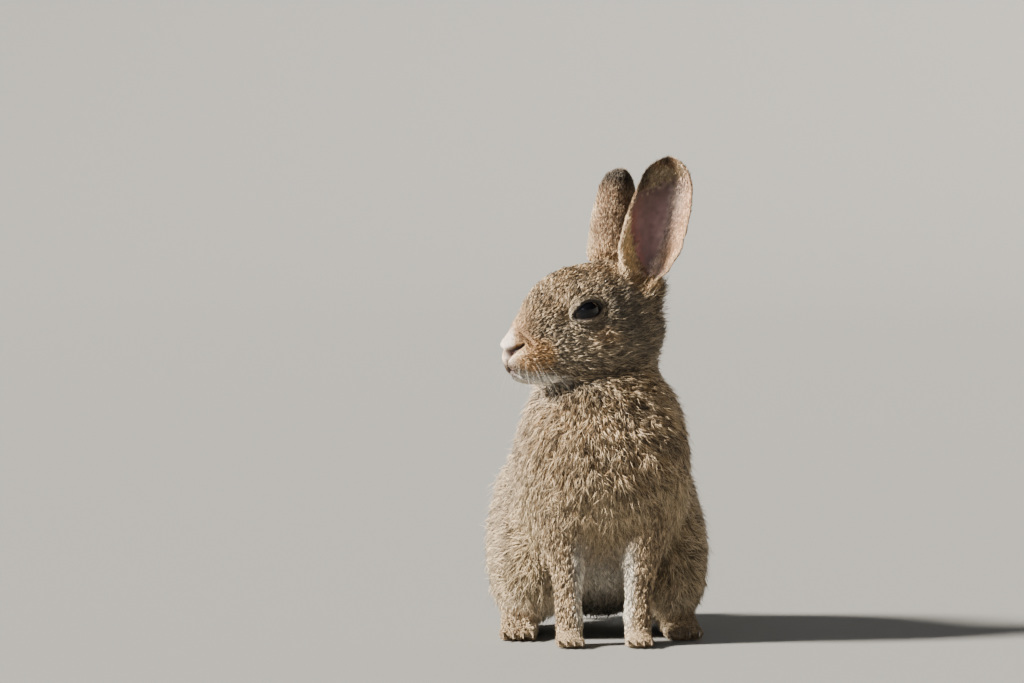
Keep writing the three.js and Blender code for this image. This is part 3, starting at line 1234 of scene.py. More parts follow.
    def _hair_fields(self) -> None:
        """Set the coat's length and lift at each point."""
        hairs = [region.hair for region in Region]
        length = self.weights @ np.array([hair.length for hair in hairs])
        lift = self.weights @ np.array([hair.lift for hair in hairs])
        points = self.mesh.points
        side, front, up = self.marks.head.folded(points).T
        head = self.share(Region.HEAD)
        face = np.interp(front, [-34, -14, 4, 15, 24, 30, 33], [6.5, 4.9, 3.9, 3.5, 2.8, 1.5, 0.7])
        cheek = smoothstep(-4, -16, up) * smoothstep(19, 8, front) * smoothstep(6, 12, side)
        face = face * (1 + 0.55 * cheek)
        jaw = smoothstep(-22, -29, up) * smoothstep(24, 12, front)
        face = face * (1 + 0.5 * jaw)
        rim = smoothstep(0.3, 4.5, self.lid_distance(points))
        face = face * (0.42 + 0.58 * rim)
        nape = smoothstep(-20, -30, front) * smoothstep(-10, 2, up)
        face = face * (1 + 0.45 * nape)
        lift = lift + 10.0 * nape * head
        length = length + head * (face - Region.HEAD.hair.length)
        ear = self.share(Region.EAR)
        wall = smoothstep(0.1, 0.5, self.inner_ear) * smoothstep(0.1, 0.5, np.abs(self.ear_across))
        length = length * (1 + 0.3 * ear * wall)
        ear_top = ear * smoothstep(0.1, 0.5, self.inner_ear) * smoothstep(48, 54, up)
        length = length * (1 + 0.25 * ear_top)
        lift = lift + 10.0 * ear_top
        low = smoothstep(14, 8, points[:, 2]) * self.share(Region.FOREPAW, Region.HINDFOOT)
        length = length * (1 - 0.2 * low)
        self.length = np.maximum(self.mesh.diffused(length, 4), 0.4)
        self.lift = self.mesh.diffused(lift, 4)

    def under_jaw(self) -> Array:
        """How near each point is to the fold between the head and the neck.

        Returns:
            A share from 0 to 1 for each point.
        """
        fold = 4 * self.share(Region.HEAD) * self.share(Region.NECK, Region.TRUNK)
        local = self.marks.head.local(self.mesh.points)
        ahead, below = smoothstep(-30, -16, local[:, 1]), smoothstep(-14, -22, local[:, 2])
        return np.clip(fold, 0, 1) * ahead * below

    def _sculpt_lids(self) -> None:
        """Shape the lids round each eyeball, with the opening sunk behind its surface."""
        points = self.mesh.points
        radius = self.marks.eye_radius
        for side, eye in self.marks.eyes.items():
            near = np.flatnonzero(lengths(points - eye) < radius + 9)
            ray = points[near] - eye
            reach = lengths(ray)
            distance, facing = self.lids.opening(points[near], self.marks, side)
            lid = radius + self.lids.thickness * smoothstep(-0.15, 0.35, distance)
            lid += 0.25 * bump(distance - 1.5, 0.8)
            lid -= 0.15 * bump(distance - 2.9, 0.5)
            open_reach = radius - 1.1
            lid = np.where(distance < -0.15, open_reach, lid)
            soft = smoothstep(-0.45, -0.05, distance)
            lid = open_reach + (lid - open_reach) * soft
            leave = smoothstep(2.2, self.lids.hug + 1.4, distance)
            wanted = lid + (np.maximum(reach, radius + 0.25) - lid) * leave
            wanted = np.where(facing > 0.05, wanted, reach)
            inside = facing > 0.3
            wanted = np.where(inside, wanted, reach + (wanted - reach) * smoothstep(0.05, 0.3, facing))
            points[near] = eye + unit(ray) * wanted[:, None]

    def _measure_lines(self) -> None:
        """Lay the muzzle's lines on the skin, and keep each point's distance from them."""
        tree = self.mesh.tree()
        head = self.marks.head
        spot = head.folded(self.mesh.points)
        near = (spot[:, 1] > 5) & (spot[:, 2] < 0)
        self.lines = {}
        for line in MuzzleLine:
            corners = np.asarray(line.value)
            places = np.linspace(0, len(corners) - 1, 4 * len(corners))
            dense = np.column_stack(
                [np.interp(places, np.arange(len(corners)), corners[:, i]) for i in range(3)]
            )
            found = [tree.find_nearest(Vector(place))[0] for place in head.world(dense)]
            distance, along = np.full(len(spot), FAR), np.zeros(len(spot))
            distance[near], along[near] = line_distance(spot[near], head.local(np.array(found)))
            self.lines[line] = (distance, along)

    def _sculpt_muzzle(self, normals: Array) -> None:
        """Press in the nostrils, cleft and mouth, and raise the pads, wings and chin.

        Args:
            normals: Unit normals of the skin.
        """
        spot = self.marks.head.folded(self.mesh.points)
        slit, along = self.lines[MuzzleLine.NOSTRIL]
        width = self.nostril_width * (1 - 0.72 * along)
        change = -self.nostril_depth * (1 - 0.45 * along) * np.exp(-((slit / width) ** 4))
        change += 0.6 * bump(self.lines[MuzzleLine.WING][0], 1.6)
        change -= 0.7 * bump(self.lines[MuzzleLine.CREASE][0], 1.2)
        change -= 1.2 * bump(self.lines[MuzzleLine.CLEFT][0], 0.7)
        mouth, share = self.lines[MuzzleLine.MOUTH]
        change -= (1.7 - 1.0 * share) * bump(mouth, 0.75)
        change += 0.9 * bump(lengths(spot - self.pad_middle), 5.2)
        change += 0.5 * bump(lengths(spot - self.chin_middle), 4.0)
        self.mesh.points = self.mesh.points + normals * change[:, None]

    def sculpt(self) -> None:
        """Make the skin's mesh and the fields that lie on it."""
        self.mesh = self._base()
        self.weights = self._region_weights()
        normals = self.mesh.normals()
        self._measure_ears(normals)
        self._draw_rims()
        self._hair_fields()
        depth = self.length * np.sin(np.radians(self.lift)) * self.coat_depth + self.margin
        depth = depth + self.jaw_groove * self.under_jaw()
        calm = unit(self.mesh.diffused(normals, 3))
        self.mesh.points = self.mesh.points - calm * depth[:, None]
        self.mesh.points[:, 2] = np.maximum(self.mesh.points[:, 2], self.sole)
        self._measure_lines()
        self._sculpt_muzzle(self.mesh.normals())
        mouth, share = self.lines[MuzzleLine.MOUTH]
        lips = 0.5 * bump(mouth, 1.6) * (1 - share)
        self.length = self.length * (1 - 0.7 * bump(self.lines[MuzzleLine.NOSTRIL][0], 2.8)) * (1 - lips)
        self._sculpt_lids()

    def _unwrap(self, made: Object) -> None:
        """Unwrap the skin on its own shape and keep the corners' places.

        Args:
            made: The skin's object.
        """
        bpy.context.view_layer.objects.active = made
        made.select_set(True)
        made.data.uv_layers.new(name="OFBake")
        bpy.ops.object.mode_set(mode="EDIT")
        bpy.ops.mesh.select_all(action="SELECT")
        bpy.ops.uv.smart_project(angle_limit=math.radians(66), island_margin=0.002)
        bpy.ops.object.mode_set(mode="OBJECT")
        made.select_set(False)
        uv = np.empty(len(made.data.loops) * 2, dtype=np.float32)
        made.data.uv_layers["OFBake"].data.foreach_get("uv", uv)
        self.uv = uv.reshape(-1, 3, 2).astype(float)

    def build(self, markings: "Markings") -> None:
        """Make the skin's object, which stands for all flesh nodes.

        Args:
            markings: Colours of the animal, already painted.
        """
        made = self.mesh.object("skin")
        alpha = np.ones((len(self.mesh.points), 1))
        add_field(made, "mark", np.concatenate([markings.colour, alpha], axis=1))
        add_field(made, "bare", markings.bare)
        self._unwrap(made)
        nodes = [name for region in Region for name in region.nodes()]
        dress(made, SkinFinish().build(), "coat", *nodes)


# Markings

@dataclass
class Markings:
    """Colours of the animal, worked out from its regions and the directions they face, with painted
    shade and painted light in some places.
    """

    pelt: Pelt
    depth_of_tone: float = 0.8  # of all markings
    colour: Array = field(init=False)
    bare: Array = field(init=False)
    ticking: Array = field(init=False)  # strength of the hairs' dark and pale tips
    normals: Array = field(init=False)  # calmed directions of the skin

    BROWN = linear(146, 124, 98)
    BACK = linear(122, 102, 78)
    CHEST = linear(166, 136, 98)
    # dark chest patches; kept to one side of the chest, they are also painted shade
    CHEST_PATCH_SHADE = linear(104, 88, 70)
    NAPE = linear(152, 118, 82)
    FLANK = linear(224, 200, 160)
    BUFF = linear(222, 192, 144)
    CREAM = linear(228, 210, 182)
    WHITE = linear(240, 232, 218)
    LEG = linear(182, 156, 122)
    FOOT = linear(198, 172, 138)
    TAIL_TOP = linear(66, 54, 42)
    FOREHEAD = linear(158, 130, 96)
    # grey cheek fur, cooled towards the tint of fur in shade: partly painted shade
    CHEEK = linear(130, 117, 98)
    # grey temple fur, darkened and cooled as painted shade
    TEMPLE_SHADE = linear(70, 67, 60)
    # brown back of the head, darkened as painted shade
    HEAD_BACK_SHADE = linear(112, 96, 76)
    PAD = linear(222, 170, 112)
    JAW = linear(252, 246, 234)
    # painted shadow in the fold under the jaw
    JAW_SHADOW = linear(84, 74, 62)
    NOSE = linear(248, 228, 216)
    NOSE_SIDE = linear(222, 178, 134)
    # painted shade in the crease beside the nose
    CREASE = linear(140, 104, 74)
    LIP = linear(250, 216, 176)
    LIP_SHADE = linear(112, 86, 80)
    # painted shade in the nostrils, the cleft and the mouth line
    NOSTRIL = linear(44, 20, 18)
    LID = linear(30, 22, 18)
    EAR_BACK = linear(150, 116, 86)
    EAR_ROOT = linear(204, 166, 118)
    EAR_TIP = linear(24, 18, 14)
    # buff fur inside the ear's top, brightened as painted light
    EAR_TOP_LIT = linear(236, 210, 172)
    # painted shadow under the ear's top fur
    EAR_TOP_SHADOW = linear(96, 76, 52)
    # golden front rim band, brightened as painted light
    EAR_FLARE_LIT = linear(250, 214, 158)
    EAR_WALL = linear(246, 218, 206)
    # cream rim fur, partly a painted rim highlight
    EAR_RIM = linear(232, 208, 170)
    EAR_REAR_RIM = linear(222, 172, 124)
    EAR_SKIN = linear(112, 84, 86)
    EAR_ROSY = linear(150, 88, 82)
    EAR_LILAC = linear(176, 142, 142)
    # painted shade in the upper part of the ear's hollow
    EAR_HOLLOW_SHADE = linear(82, 60, 56)

    def paint(self) -> None:
        """Work out the fields at each point of the skin."""
        mesh = self.pelt.mesh
        count = len(mesh.points)
        self.normals = unit(mesh.diffused(mesh.normals(), 6))
        self.bare = np.zeros(count)
        self.ticking = np.ones(count)
        self.colour = np.tile(self.BROWN, (count, 1))
        self._trunk_and_legs()
        self._tail()
        self._head()
        self._ears()
        self._nose_and_mouth()
        self._lids()
        self.colour = np.clip(self.colour * self.depth_of_tone, 0.0, 1.0)

    def _tint(self, colour: Array, share: Array, ticking: float = 1.0) -> None:
        """Blend a colour in by each point's share, with how strongly it is ticked."""
        self.ticking = self.ticking + (ticking - self.ticking) * share
        self.colour = blend(self.colour, colour[None, :], share)

    def _trunk_and_legs(self) -> None:
        """Brown back, orange nape, tan chest with dark patches kept to one side as painted shade, buff
        breast and flanks, white belly and inner legs.
        """
        points, normals = self.pelt.mesh.points, self.normals
        x, z = points[:, 0] - self.pelt.marks.spine, points[:, 2]
        trunk = self.pelt.share(Region.TRUNK, Region.NECK)
        wander = ripple(points, 34, 3) * 0.5
        back = smoothstep(0.15, 0.75, normals[:, 2] + 0.35 * normals[:, 1] + 0.12 * wander)
        self._tint(self.BACK, trunk * back)
        chest = smoothstep(0.1, -0.6, normals[:, 1]) * smoothstep(48, 62, z)
        self._tint(self.CHEST, trunk * chest * (1 - back))
        # dark patches, kept to one side of the chest, where they are painted shade
        patches_and_shade = smoothstep(0.2, 1.1, ripple(points, 15.0, 31)) * smoothstep(-14, 4, x)
        self._tint(self.CHEST_PATCH_SHADE, trunk * chest * (1 - back) * patches_and_shade * 0.7)
        nape = self.pelt.share(Region.NECK) * smoothstep(-0.1, 0.6, normals[:, 1])
        self._tint(self.NAPE, nape * 0.6)
        flank = smoothstep(82, 52, z + 8 * wander) * (1 - back)
        self._tint(self.FLANK, trunk * flank * 0.85, 0.7)
        breast = smoothstep(74, 30, z + 9 * wander) * smoothstep(-0.1, -0.6, normals[:, 1])
        self._tint(self.BUFF, trunk * breast * 0.75, 0.6)
        self._tint(self.CREAM, trunk * breast * bump(x, 13) * 0.6, 0.3)
        belly = smoothstep(-0.2, -0.7, normals[:, 2]) * smoothstep(50, 34, z)
        self._tint(self.WHITE, trunk * belly, 0.1)
        groin = bump(x, 15) * smoothstep(38, 24, z) * smoothstep(0.4, -0.1, normals[:, 1])
        self._tint(self.WHITE, groin * self.pelt.share(Region.TRUNK), 0.05)
        thigh = self.pelt.share(Region.THIGH)
        self._tint(self.BACK, thigh * smoothstep(0.3, 0.9, normals[:, 2]) * 0.6)
        self._tint(self.FLANK, thigh * smoothstep(62, 26, z + 7 * wander) * 0.8, 0.75)
        self._tint(self.CREAM, thigh * smoothstep(0.0, -0.7, normals[:, 2]), 0.2)
        self._tint(self.WHITE, thigh * groin, 0.05)
        leg = self.pelt.share(Region.FORELEG)
        inner = smoothstep(0.1, 0.7, -np.sign(x) * normals[:, 0])
        self._tint(self.LEG, leg, 0.7)
        self._tint(self.WHITE, leg * inner, 0.1)
        foot = self.pelt.share(Region.FOREPAW, Region.HINDFOOT)
        self._tint(self.FOOT, foot, 0.35)
        self._tint(self.CREAM, foot * inner * 0.8, 0.1)

    def _tail(self) -> None:
        """White tail with a dark upper side."""
        x, y, z = self.pelt.mesh.points.T
        tail = self.pelt.share(Region.TAIL)
        self._tint(self.WHITE, tail, 0.05)
        low, high = node_box("tail")
        top = smoothstep(low[1] + 5, low[1] - 1, y) * smoothstep(high[2] - 14, high[2] - 4, z)
        outer = smoothstep(0.0, 0.6, 0.7 * self.normals[:, 1] + 0.7 * self.normals[:, 2])
        outer *= bump(x - (low[0] + high[0]) / 2, 5.5) * smoothstep(10, 20, z)
        self._tint(self.TAIL_TOP, tail * np.maximum(top, 0.9 * outer), 0.6)

    def _head(self) -> None:
        """Tan forehead, grey cheeks and temples, orange pads, white jaw; painted shade darkens the
        temples and the back of the head and cools the cheeks, and a painted shadow lies in the fold
        under the jaw.
        """
        points = self.pelt.mesh.points
        side, front, up = self.pelt.marks.head.folded(points).T
        head = self.pelt.share(Region.HEAD)
        wander = ripple(points, 13, 5) * 0.5
        self._tint(self.FOREHEAD, head * smoothstep(-14, 4, up + 3 * wander))
        # grey cheeks, cooled as painted shade
        cheek = smoothstep(2, -8, up + 2 * wander) * smoothstep(26, 12, front)
        self._tint(self.CHEEK, head * cheek, 0.8)
        # temples darkened and cooled as painted shade
        temple = bump(np.hypot((front + 16) * 0.8, up - 2), 14) * smoothstep(6, 12, side)
        self._tint(self.TEMPLE_SHADE, head * np.minimum(1.2 * temple, 1.0) * 0.9, 0.35)
        # back of the head darkened as painted shade
        nape = smoothstep(-14, -28, front) * smoothstep(-30, -10, up)
        self._tint(self.HEAD_BACK_SHADE, head * nape * 0.6, 0.8)
        spot = bump(np.hypot(front + 4, (up + 10.5) * 1.3), 4.6) * smoothstep(9, 13, side)
        self._tint(self.PAD, head * spot * 0.55)
        from_pad = np.hypot((front - 22.3) * 0.95, (up + 17.5) * 1.05)
        self._tint(self.PAD, head * smoothstep(9.5, 4.5, from_pad + 1.5 * wander) * 0.85, 0.8)
        bridge = smoothstep(21, 28, front) * smoothstep(-20, -8, up)
        self._tint(self.NOSE_SIDE, head * bridge * 0.8, 0.35)
        jaw = smoothstep(-23, -26.5, up + 0.7 * wander + 0.12 * (22 - front))
        self._tint(self.JAW, head * jaw * smoothstep(-8, 6, front), 0.02)
        under = smoothstep(-27, -31, up) * smoothstep(-16, 0, front)
        self._tint(self.CREAM, head * under * 0.5, 0.2)
        # painted shadow in the fold under the jaw
        self._tint(self.JAW_SHADOW, self.pelt.under_jaw() * 0.75, 1.0)

    def _ears(self) -> None:
        """Ticked back, furred wall, bare hollow, pale front rim and dark tip, with painted light on the
        top fur and the front rim's band, painted shadow under the top fur and in the hollow's upper
        part, and a cream rim that is partly a painted highlight.
        """
        points = self.pelt.mesh.points
        up = self.pelt.marks.head.local(points)[:, 2]
        share = self.pelt.share(Region.EAR)
        ear = smoothstep(0.25, 0.75, share)
        inner, across = self.pelt.inner_ear, self.pelt.ear_across
        hollow = smoothstep(0.1, 0.45, inner) * ear
        rise = up - 5.0 * across
        top = smoothstep(-2.2, 1.4, up - 54.0 - 5.0 * across + 1.6 * ripple(points, 2.4, 22))
        self._tint(self.EAR_BACK, ear, 0.65)
        self._tint(self.EAR_ROOT, ear * smoothstep(34, 14, up) * 0.6, 0.7)
        collar = smoothstep(0.02, 0.3, share) * (1 - ear)
        self._tint(self.EAR_ROOT, collar * smoothstep(0.5, -0.3, across) * 0.5, 0.7)
        self._tint(self.EAR_WALL, hollow * (1 - top), 0.15)
        # top fur brightened as painted light
        self._tint(self.EAR_TOP_LIT, hollow * top, 0.75)
        # painted shadow under the top fur
        self._tint(self.EAR_TOP_SHADOW, bump(rise - 55.0, 4.5) * hollow * 0.5, 0.5)
        warm = smoothstep(0.2, 0.75, across + 0.008 * (30 - up))
        self._tint(self.EAR_REAR_RIM, hollow * warm * (1 - top) * 0.85, 0.5)
        ragged = 0.05 * ripple(points, 2.6, 21)
        front_edge = -0.8 + 0.42 * smoothstep(40, 22, up) + ragged
        rear_edge = 0.3 - 0.4 * smoothstep(26, 15, up) + ragged
        bare = hollow * smoothstep(rear_edge + 0.14, rear_edge - 0.14, across)
        bare *= smoothstep(front_edge - 0.06, front_edge + 0.06, across) * (1 - top)
        rim_edge = np.where(inner > 0, front_edge, -0.92)
        rim = ear * smoothstep(rim_edge + 0.05, rim_edge - 0.1, across)
        # cream front rim, partly a painted rim highlight
        self._tint(self.EAR_RIM, rim * smoothstep(60, 48, up) * 0.9, 0.2)
        # rim band brightened as painted light
        band = rim * smoothstep(0.0, 0.5, inner) * smoothstep(54, 40, up)
        self._tint(self.EAR_FLARE_LIT, band * 0.92, 0.15)
        self._tint(self.EAR_SKIN, bare, 0.1)
        rosy = smoothstep(front_edge + 0.34, front_edge + 0.02, across) * smoothstep(50, 36, up)
        self._tint(self.EAR_ROSY, bare * rosy * 0.7, 0.1)
        lilac = smoothstep(rear_edge - 0.45, rear_edge, across) * smoothstep(20, 34, up)
        self._tint(self.EAR_LILAC, bare * lilac * smoothstep(50, 40, up) * 0.5, 0.1)
        # painted shade in the hollow's upper part
        self._tint(self.EAR_HOLLOW_SHADE, bare * smoothstep(38, 54, rise) * 0.75, 0.1)
        self.bare = np.maximum(self.bare, bare)
        golden = smoothstep(-0.3, 0.2, across) * smoothstep(-0.75, -0.35, inner)
        dark = smoothstep(46, 56, up) * smoothstep(0.1, -0.4, inner) * (1 - 0.9 * golden)
        edge = smoothstep(46, 53, up) * smoothstep(-0.35, -0.75, across) * smoothstep(-0.4, 0.1, inner)
        self._tint(self.EAR_TIP, ear * np.maximum(dark, 0.9 * edge) * 0.95, 0.05)

    def _nose_and_mouth(self) -> None:
        """White nose and pale lips, with painted shade in the crease and below the lip, and dark painted
        shade in the nostrils, the cleft and the mouth.
        """
        side, front, up = self.pelt.marks.head.folded(self.pelt.mesh.points).T
        ahead = front > 5
        lines = self.pelt.lines
        # painted shade in the crease
        self._tint(self.CREASE, bump(lines[MuzzleLine.CREASE][0], 1.7) * 0.75, 0.3)
        nose = smoothstep(26.9, 29.2, front - 0.4 * side) * smoothstep(-22.5, -20, up)
        self._tint(self.NOSE, nose * smoothstep(-4.0, -9.0, up) * ahead * 0.9, 0.1)
        lip, _ = lines[MuzzleLine.LIP]
        self._tint(self.LIP, bump(lip, 1.5) * 0.75, 0.1)
        shade = bump(np.hypot(front - 28.4, (up + 23.6) * 0.75), 2.6) * ahead
        shade *= smoothstep(5.5, 3.0, side)
        self._tint(self.LIP_SHADE, np.minimum(1.25 * shade, 1.0) * 0.9, 0.1)
        # painted shade in the nostrils, the cleft and the mouth line
        slit, along = lines[MuzzleLine.NOSTRIL]
        nostril = np.exp(-((slit / (1.1 * self.pelt.nostril_width * (1 - 0.7 * along))) ** 6))
        self._tint(self.NOSTRIL, nostril, 0.0)
        cleft = bump(lines[MuzzleLine.CLEFT][0], 0.55)
        self._tint(self.NOSTRIL, cleft * 0.9, 0.0)
        mouth, share = lines[MuzzleLine.MOUTH]
        gape = bump(mouth, 1.1 - 0.4 * share) * (1 - 0.5 * share)
        self._tint(self.NOSTRIL * 0.5, gape, 0.0)
        for naked in (nostril, cleft, gape, bump(lip, 0.7) * 0.6):
            self.bare = np.maximum(self.bare, naked)

    def _lids(self) -> None:
        """Cream ring round each eye, dark bare lids whose upper margin is widened as partly painted
        shade, and a dark tear corner.
        """
        points = self.pelt.mesh.points
        side, front, up = self.pelt.marks.head.folded(points).T
        distance = self.pelt.lid_distance(points)
        ring = smoothstep(0.5, 1.2, distance) * smoothstep(3.8, 1.6, distance)
        ahead = smoothstep(-4, 4, front + 0.75 * up)
        self._tint(self.CREAM, ring * (0.14 + 0.56 * ahead), 0.6)
        # the dark margin is wider above, partly painted shade under the upper lid
        above = smoothstep(-1.5, 1.5, up + 0.3 * front)
        lid = smoothstep(0.75 + 0.4 * above, 0.4 + 0.4 * above, distance)
        tear = bump(np.hypot(front - 7.0, up + 3.5), 1.3) * (side > 8)
        self._tint(self.LID, tear * 0.75, 0.0)
        self._tint(self.LID, lid, 0.0)
        self.bare = np.maximum(self.bare, lid)


# Coat

@dataclass
class LieOfCoat:
    """Direction in which the coat lies at each point of the skin."""

    pelt: Pelt
    flow: Array = field(init=False)

    def _along_ears(self, points: Array) -> Array:
        """Directions on the ears: up, out over the rear wall and forward over the front rim.

        Args:
            points: Places on the skin.

        Returns:
            A unit direction for each point.
        """
        pelt = self.pelt
        ears = np.tile(unit(np.array([0.08, 0.0, 1.0])), (len(points), 1))
        for ear in pelt.marks.ears.values():
            own = lengths(points - ear.section(points[:, 2])[0]) < 18
            wall = smoothstep(0.1, 0.6, pelt.inner_ear) * smoothstep(0.0, 0.4, pelt.ear_across) * own
            ears = ears + ear.rearward * (0.9 * wall)[:, None]
            rim = smoothstep(-0.6, -0.95, pelt.ear_across) * own
            ears = ears - ear.rearward * (0.5 * rim)[:, None]
        return unit(ears)

    def comb(self) -> None:
        """Work out the flow and let it run smoothly over the skin."""
        pelt, marks = self.pelt, self.pelt.marks
        points, normals = pelt.mesh.points, pelt.mesh.normals()
        front = smoothstep(0.35, -0.35, normals[:, 1])
        from_throat = unit(unit(points - marks.throat) * [1.3, 1.0, 1.0])
        ahead = np.tile(unit(np.array([0.0, -1.0, -0.25])), (len(points), 1))
        by_region = {
            Region.HEAD: unit(points - marks.nose - marks.head.front * 2.0),
            Region.EAR: self._along_ears(points),
            Region.NECK: blend(unit(np.array([[0.0, 0.7, -1.0]])), from_throat, front),
            Region.TRUNK: blend(unit(np.array([[0.0, 1.0, -0.45]])), from_throat, front),
            Region.THIGH: unit(np.tile([0.0, 0.75, -0.75], (len(points), 1))),
            Region.TAIL: unit(points - node_centre("tail") + [0, -4.0, 14.0]),
            Region.FORELEG: np.tile(unit(np.array([0.0, -0.12, -1.0])), (len(points), 1)),
            Region.FOREPAW: ahead,
            Region.HINDFOOT: ahead,
        }
        flow = sum(by_region[region] * pelt.share(region)[:, None] for region in Region)
        for eye in marks.eyes.values():
            near = bump(lengths(points - eye) - marks.eye_radius, 4.0)
            flow = blend(flow, unit(points - eye), 0.55 * near)
        flow = flow - normals * row_dot(flow, normals)[:, None]
        flow = pelt.mesh.diffused(unit(flow), 8)
        self.flow = unit(flow - normals * row_dot(flow, normals)[:, None])


class Tuft(Enum):
    """Ways to shape one tuft."""

    SHORT = "short"  # straight spike on a three-sided root, four faces
    LONG = "long"  # spindle bent at the middle, six faces


class Facing(Enum):
    """Part of the trunk that a piece of coat covers."""

    CHEST = "chest"
    BACK = "back"
    ALL = "all"


@dataclass(frozen=True)
class CoatPiece:
    """One piece of coat: a name and what it covers."""

    name: str
    regions: tuple[Region, ...]
    side: Side = Side.BOTH
    facing: Facing = Facing.ALL

    @classmethod
    def pair(cls, name: str, region: Region, facing: Facing = Facing.ALL) -> list["CoatPiece"]:
        """The left piece and the right of one region."""
        return [cls(side.of(name), (region,), side, facing) for side in Side.pair()]


@dataclass(frozen=True)
class Roots:
    """Where the tufts grow: each one's face of the skin, and its place between the corners."""

    face: Array
    corners: Array
    weights: Array

    def at(self, values: Array) -> Array:
        """Value of a field of the skin at each root.

        Args:
            values: One number or one row for each point of the skin.

        Returns:
            One number or one row for each root.
        """
        found = values[self.corners]
        weights = self.weights if found.ndim == 2 else self.weights[:, :, None]
        return (found * weights).sum(axis=1)


@dataclass
class Hairs:
    """Tufts as rows: where each grows, bends and ends, and what it takes from the skin."""

    roots: Array
    middles: Array
    tips: Array
    normals: Array
    across: Array
    width: Array
    length: Array
    colour: Array
    ticking: Array
    chance: Array
    uv: Array


@dataclass
class Strands:
    """Solid mesh of some tufts: its points and faces, and each point's place on its tuft."""

    mesh: TriangleMesh
    along: Array
    across: Array
    owner: Array

    @classmethod
    def of(cls, kind: Tuft, hairs: Hairs, who: Array, bend: float, tuck: float) -> "Strands":
        """Shape one kind of tuft.

        Args:
            kind: How the tufts are shaped.
            hairs: All tufts.
            who: Numbers of the tufts wanted.
            bend: Share of the length at which a long tuft bends.
            tuck: How far the root lies under the skin.

        Returns:
            The tufts' mesh.
        """
        out, aside, half = hairs.normals[who], hairs.across[who], hairs.width[who, None] / 2
        sunk = hairs.roots[who] - out * tuck
        short = kind is Tuft.SHORT
        centre, level = (sunk, 0.0) if short else (hairs.middles[who], bend)
        ring = [centre - aside * half, centre + aside * half, centre + out * half * 1.1]
        points = [*ring, hairs.tips[who]]
        levels, places = [level] * 3 + [1.0], [-1.0, 1.0, 0.0, 0.0]
        faces = [(0, 1, 3), (1, 2, 3), (2, 0, 3)]
        if short:
            faces.append((1, 0, 2))
        else:
            points.append(sunk)
            levels.append(0.0)
            places.append(0.0)
            faces += [(1, 0, 4), (2, 1, 4), (0, 2, 4)]
        table = np.array(faces)[None] + (np.arange(len(who)) * len(levels))[:, None, None]
        mesh = TriangleMesh(np.stack(points, axis=1).reshape(-1, 3), table.reshape(-1, 3))
        owner = np.repeat(who, len(levels))
        return cls(mesh, np.tile(levels, len(who)), np.tile(places, len(who)), owner)


